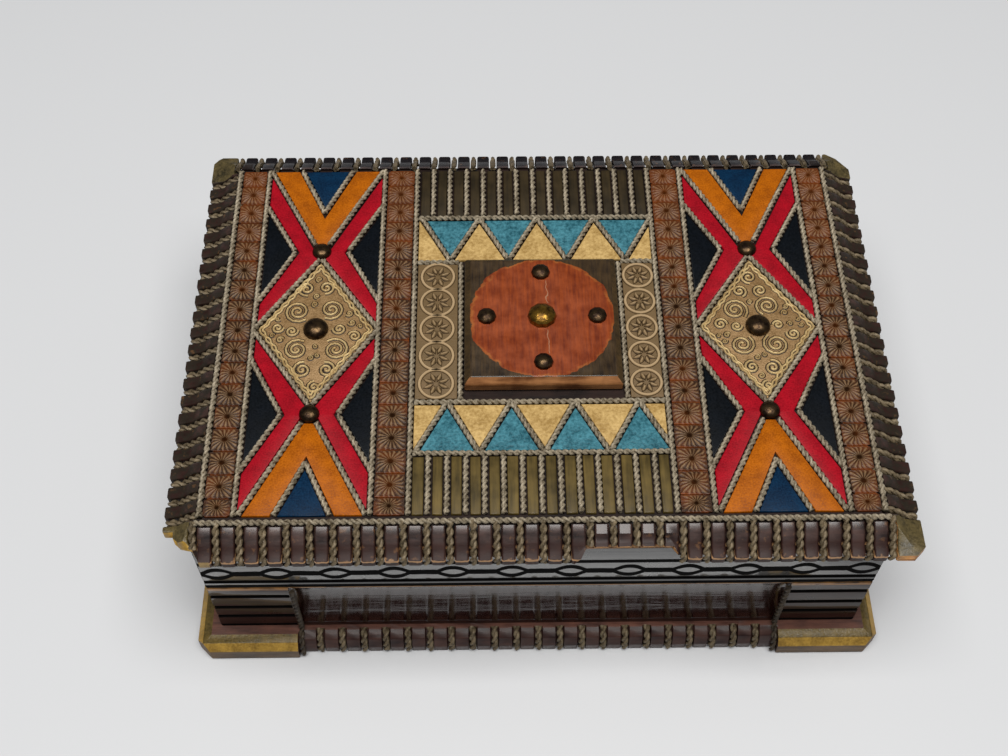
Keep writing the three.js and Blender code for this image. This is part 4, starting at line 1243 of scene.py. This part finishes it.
lidBoard()
rimWires()
print("lid and rim done")
addFields()
addFieldWires()
addCentre()
print("panel fields and wires done")
addRosettes()
addFlowers()
addDiamonds()
print("stamped work done")
addPlaque()
addNails()
addWalls()
addBase()
addBaseWires()
for node, obj in nodes.items():
    if node.startswith("hinge"):
        obj.data.materials.clear()
        obj.data.materials.append(hingeBrass)
print("box done")


# Floor, light and camera
lightSettings = {
    "place": (0.0, -0.2, 1.35), "aim": (0, 0, 0.05), "size": (1.2, 0.7),
    "power": 21.3, "colour": (1.0, 0.98, 0.95), "skyColour": (0.94, 0.96, 1.0, 1), "sky": 0.14,
}
# Camera that gives the photograph's view, angles in radians
view = {"yaw": 0.0185, "pitch": 0.9847, "roll": 0.0071, "lens": 48.33, "place": (-0.01432, -0.23827, 0.402)}


def addFloor():
    bpy.ops.mesh.primitive_plane_add(size=6, location=(0, 0.5, -0.0002))
    floor = bpy.context.object
    floor.name = "floor"
    g = Graph("floorWhite", "d8dadd", 0.22)
    floor.data.materials.append(g.material)


def addLight():
    light = bpy.data.lights.new("overhead", "AREA")
    light.shape = "RECTANGLE"
    light.size, light.size_y = lightSettings["size"]
    light.energy = lightSettings["power"]
    light.color = lightSettings["colour"]
    lamp = bpy.data.objects.new("overhead", light)
    lamp.location = lightSettings["place"]
    towards = Vector(lightSettings["aim"]) - Vector(lightSettings["place"])
    lamp.rotation_euler = towards.to_track_quat("-Z", "Y").to_euler()
    scene.collection.objects.link(lamp)
    world = bpy.data.worlds.new("soft")
    world.use_nodes = True
    background = world.node_tree.nodes["Background"]
    background.inputs["Color"].default_value = lightSettings["skyColour"]
    background.inputs["Strength"].default_value = lightSettings["sky"]
    scene.world = world
    scene.view_settings.view_transform = "Standard"


def addCamera():
    yaw = view["yaw"]
    pitch = view["pitch"]
    roll = view["roll"]
    right = Vector((math.cos(yaw), -math.sin(yaw), 0))
    ahead = Vector((math.sin(yaw) * math.cos(pitch), math.cos(yaw) * math.cos(pitch), -math.sin(pitch)))
    above = right.cross(ahead)
    across = right * math.cos(roll) + above * math.sin(roll)
    upward = above * math.cos(roll) - right * math.sin(roll)
    camera = bpy.data.objects.new("camera", bpy.data.cameras.new("camera"))
    camera.data.sensor_width = 36
    camera.data.lens = view["lens"]
    turned = Matrix((across, upward, -ahead)).transposed().to_4x4()
    camera.matrix_world = Matrix.Translation(view["place"]) @ turned
    scene.collection.objects.link(camera)
    scene.camera = camera


addFloor()
addLight()
addCamera()
print("floor, light and camera done")
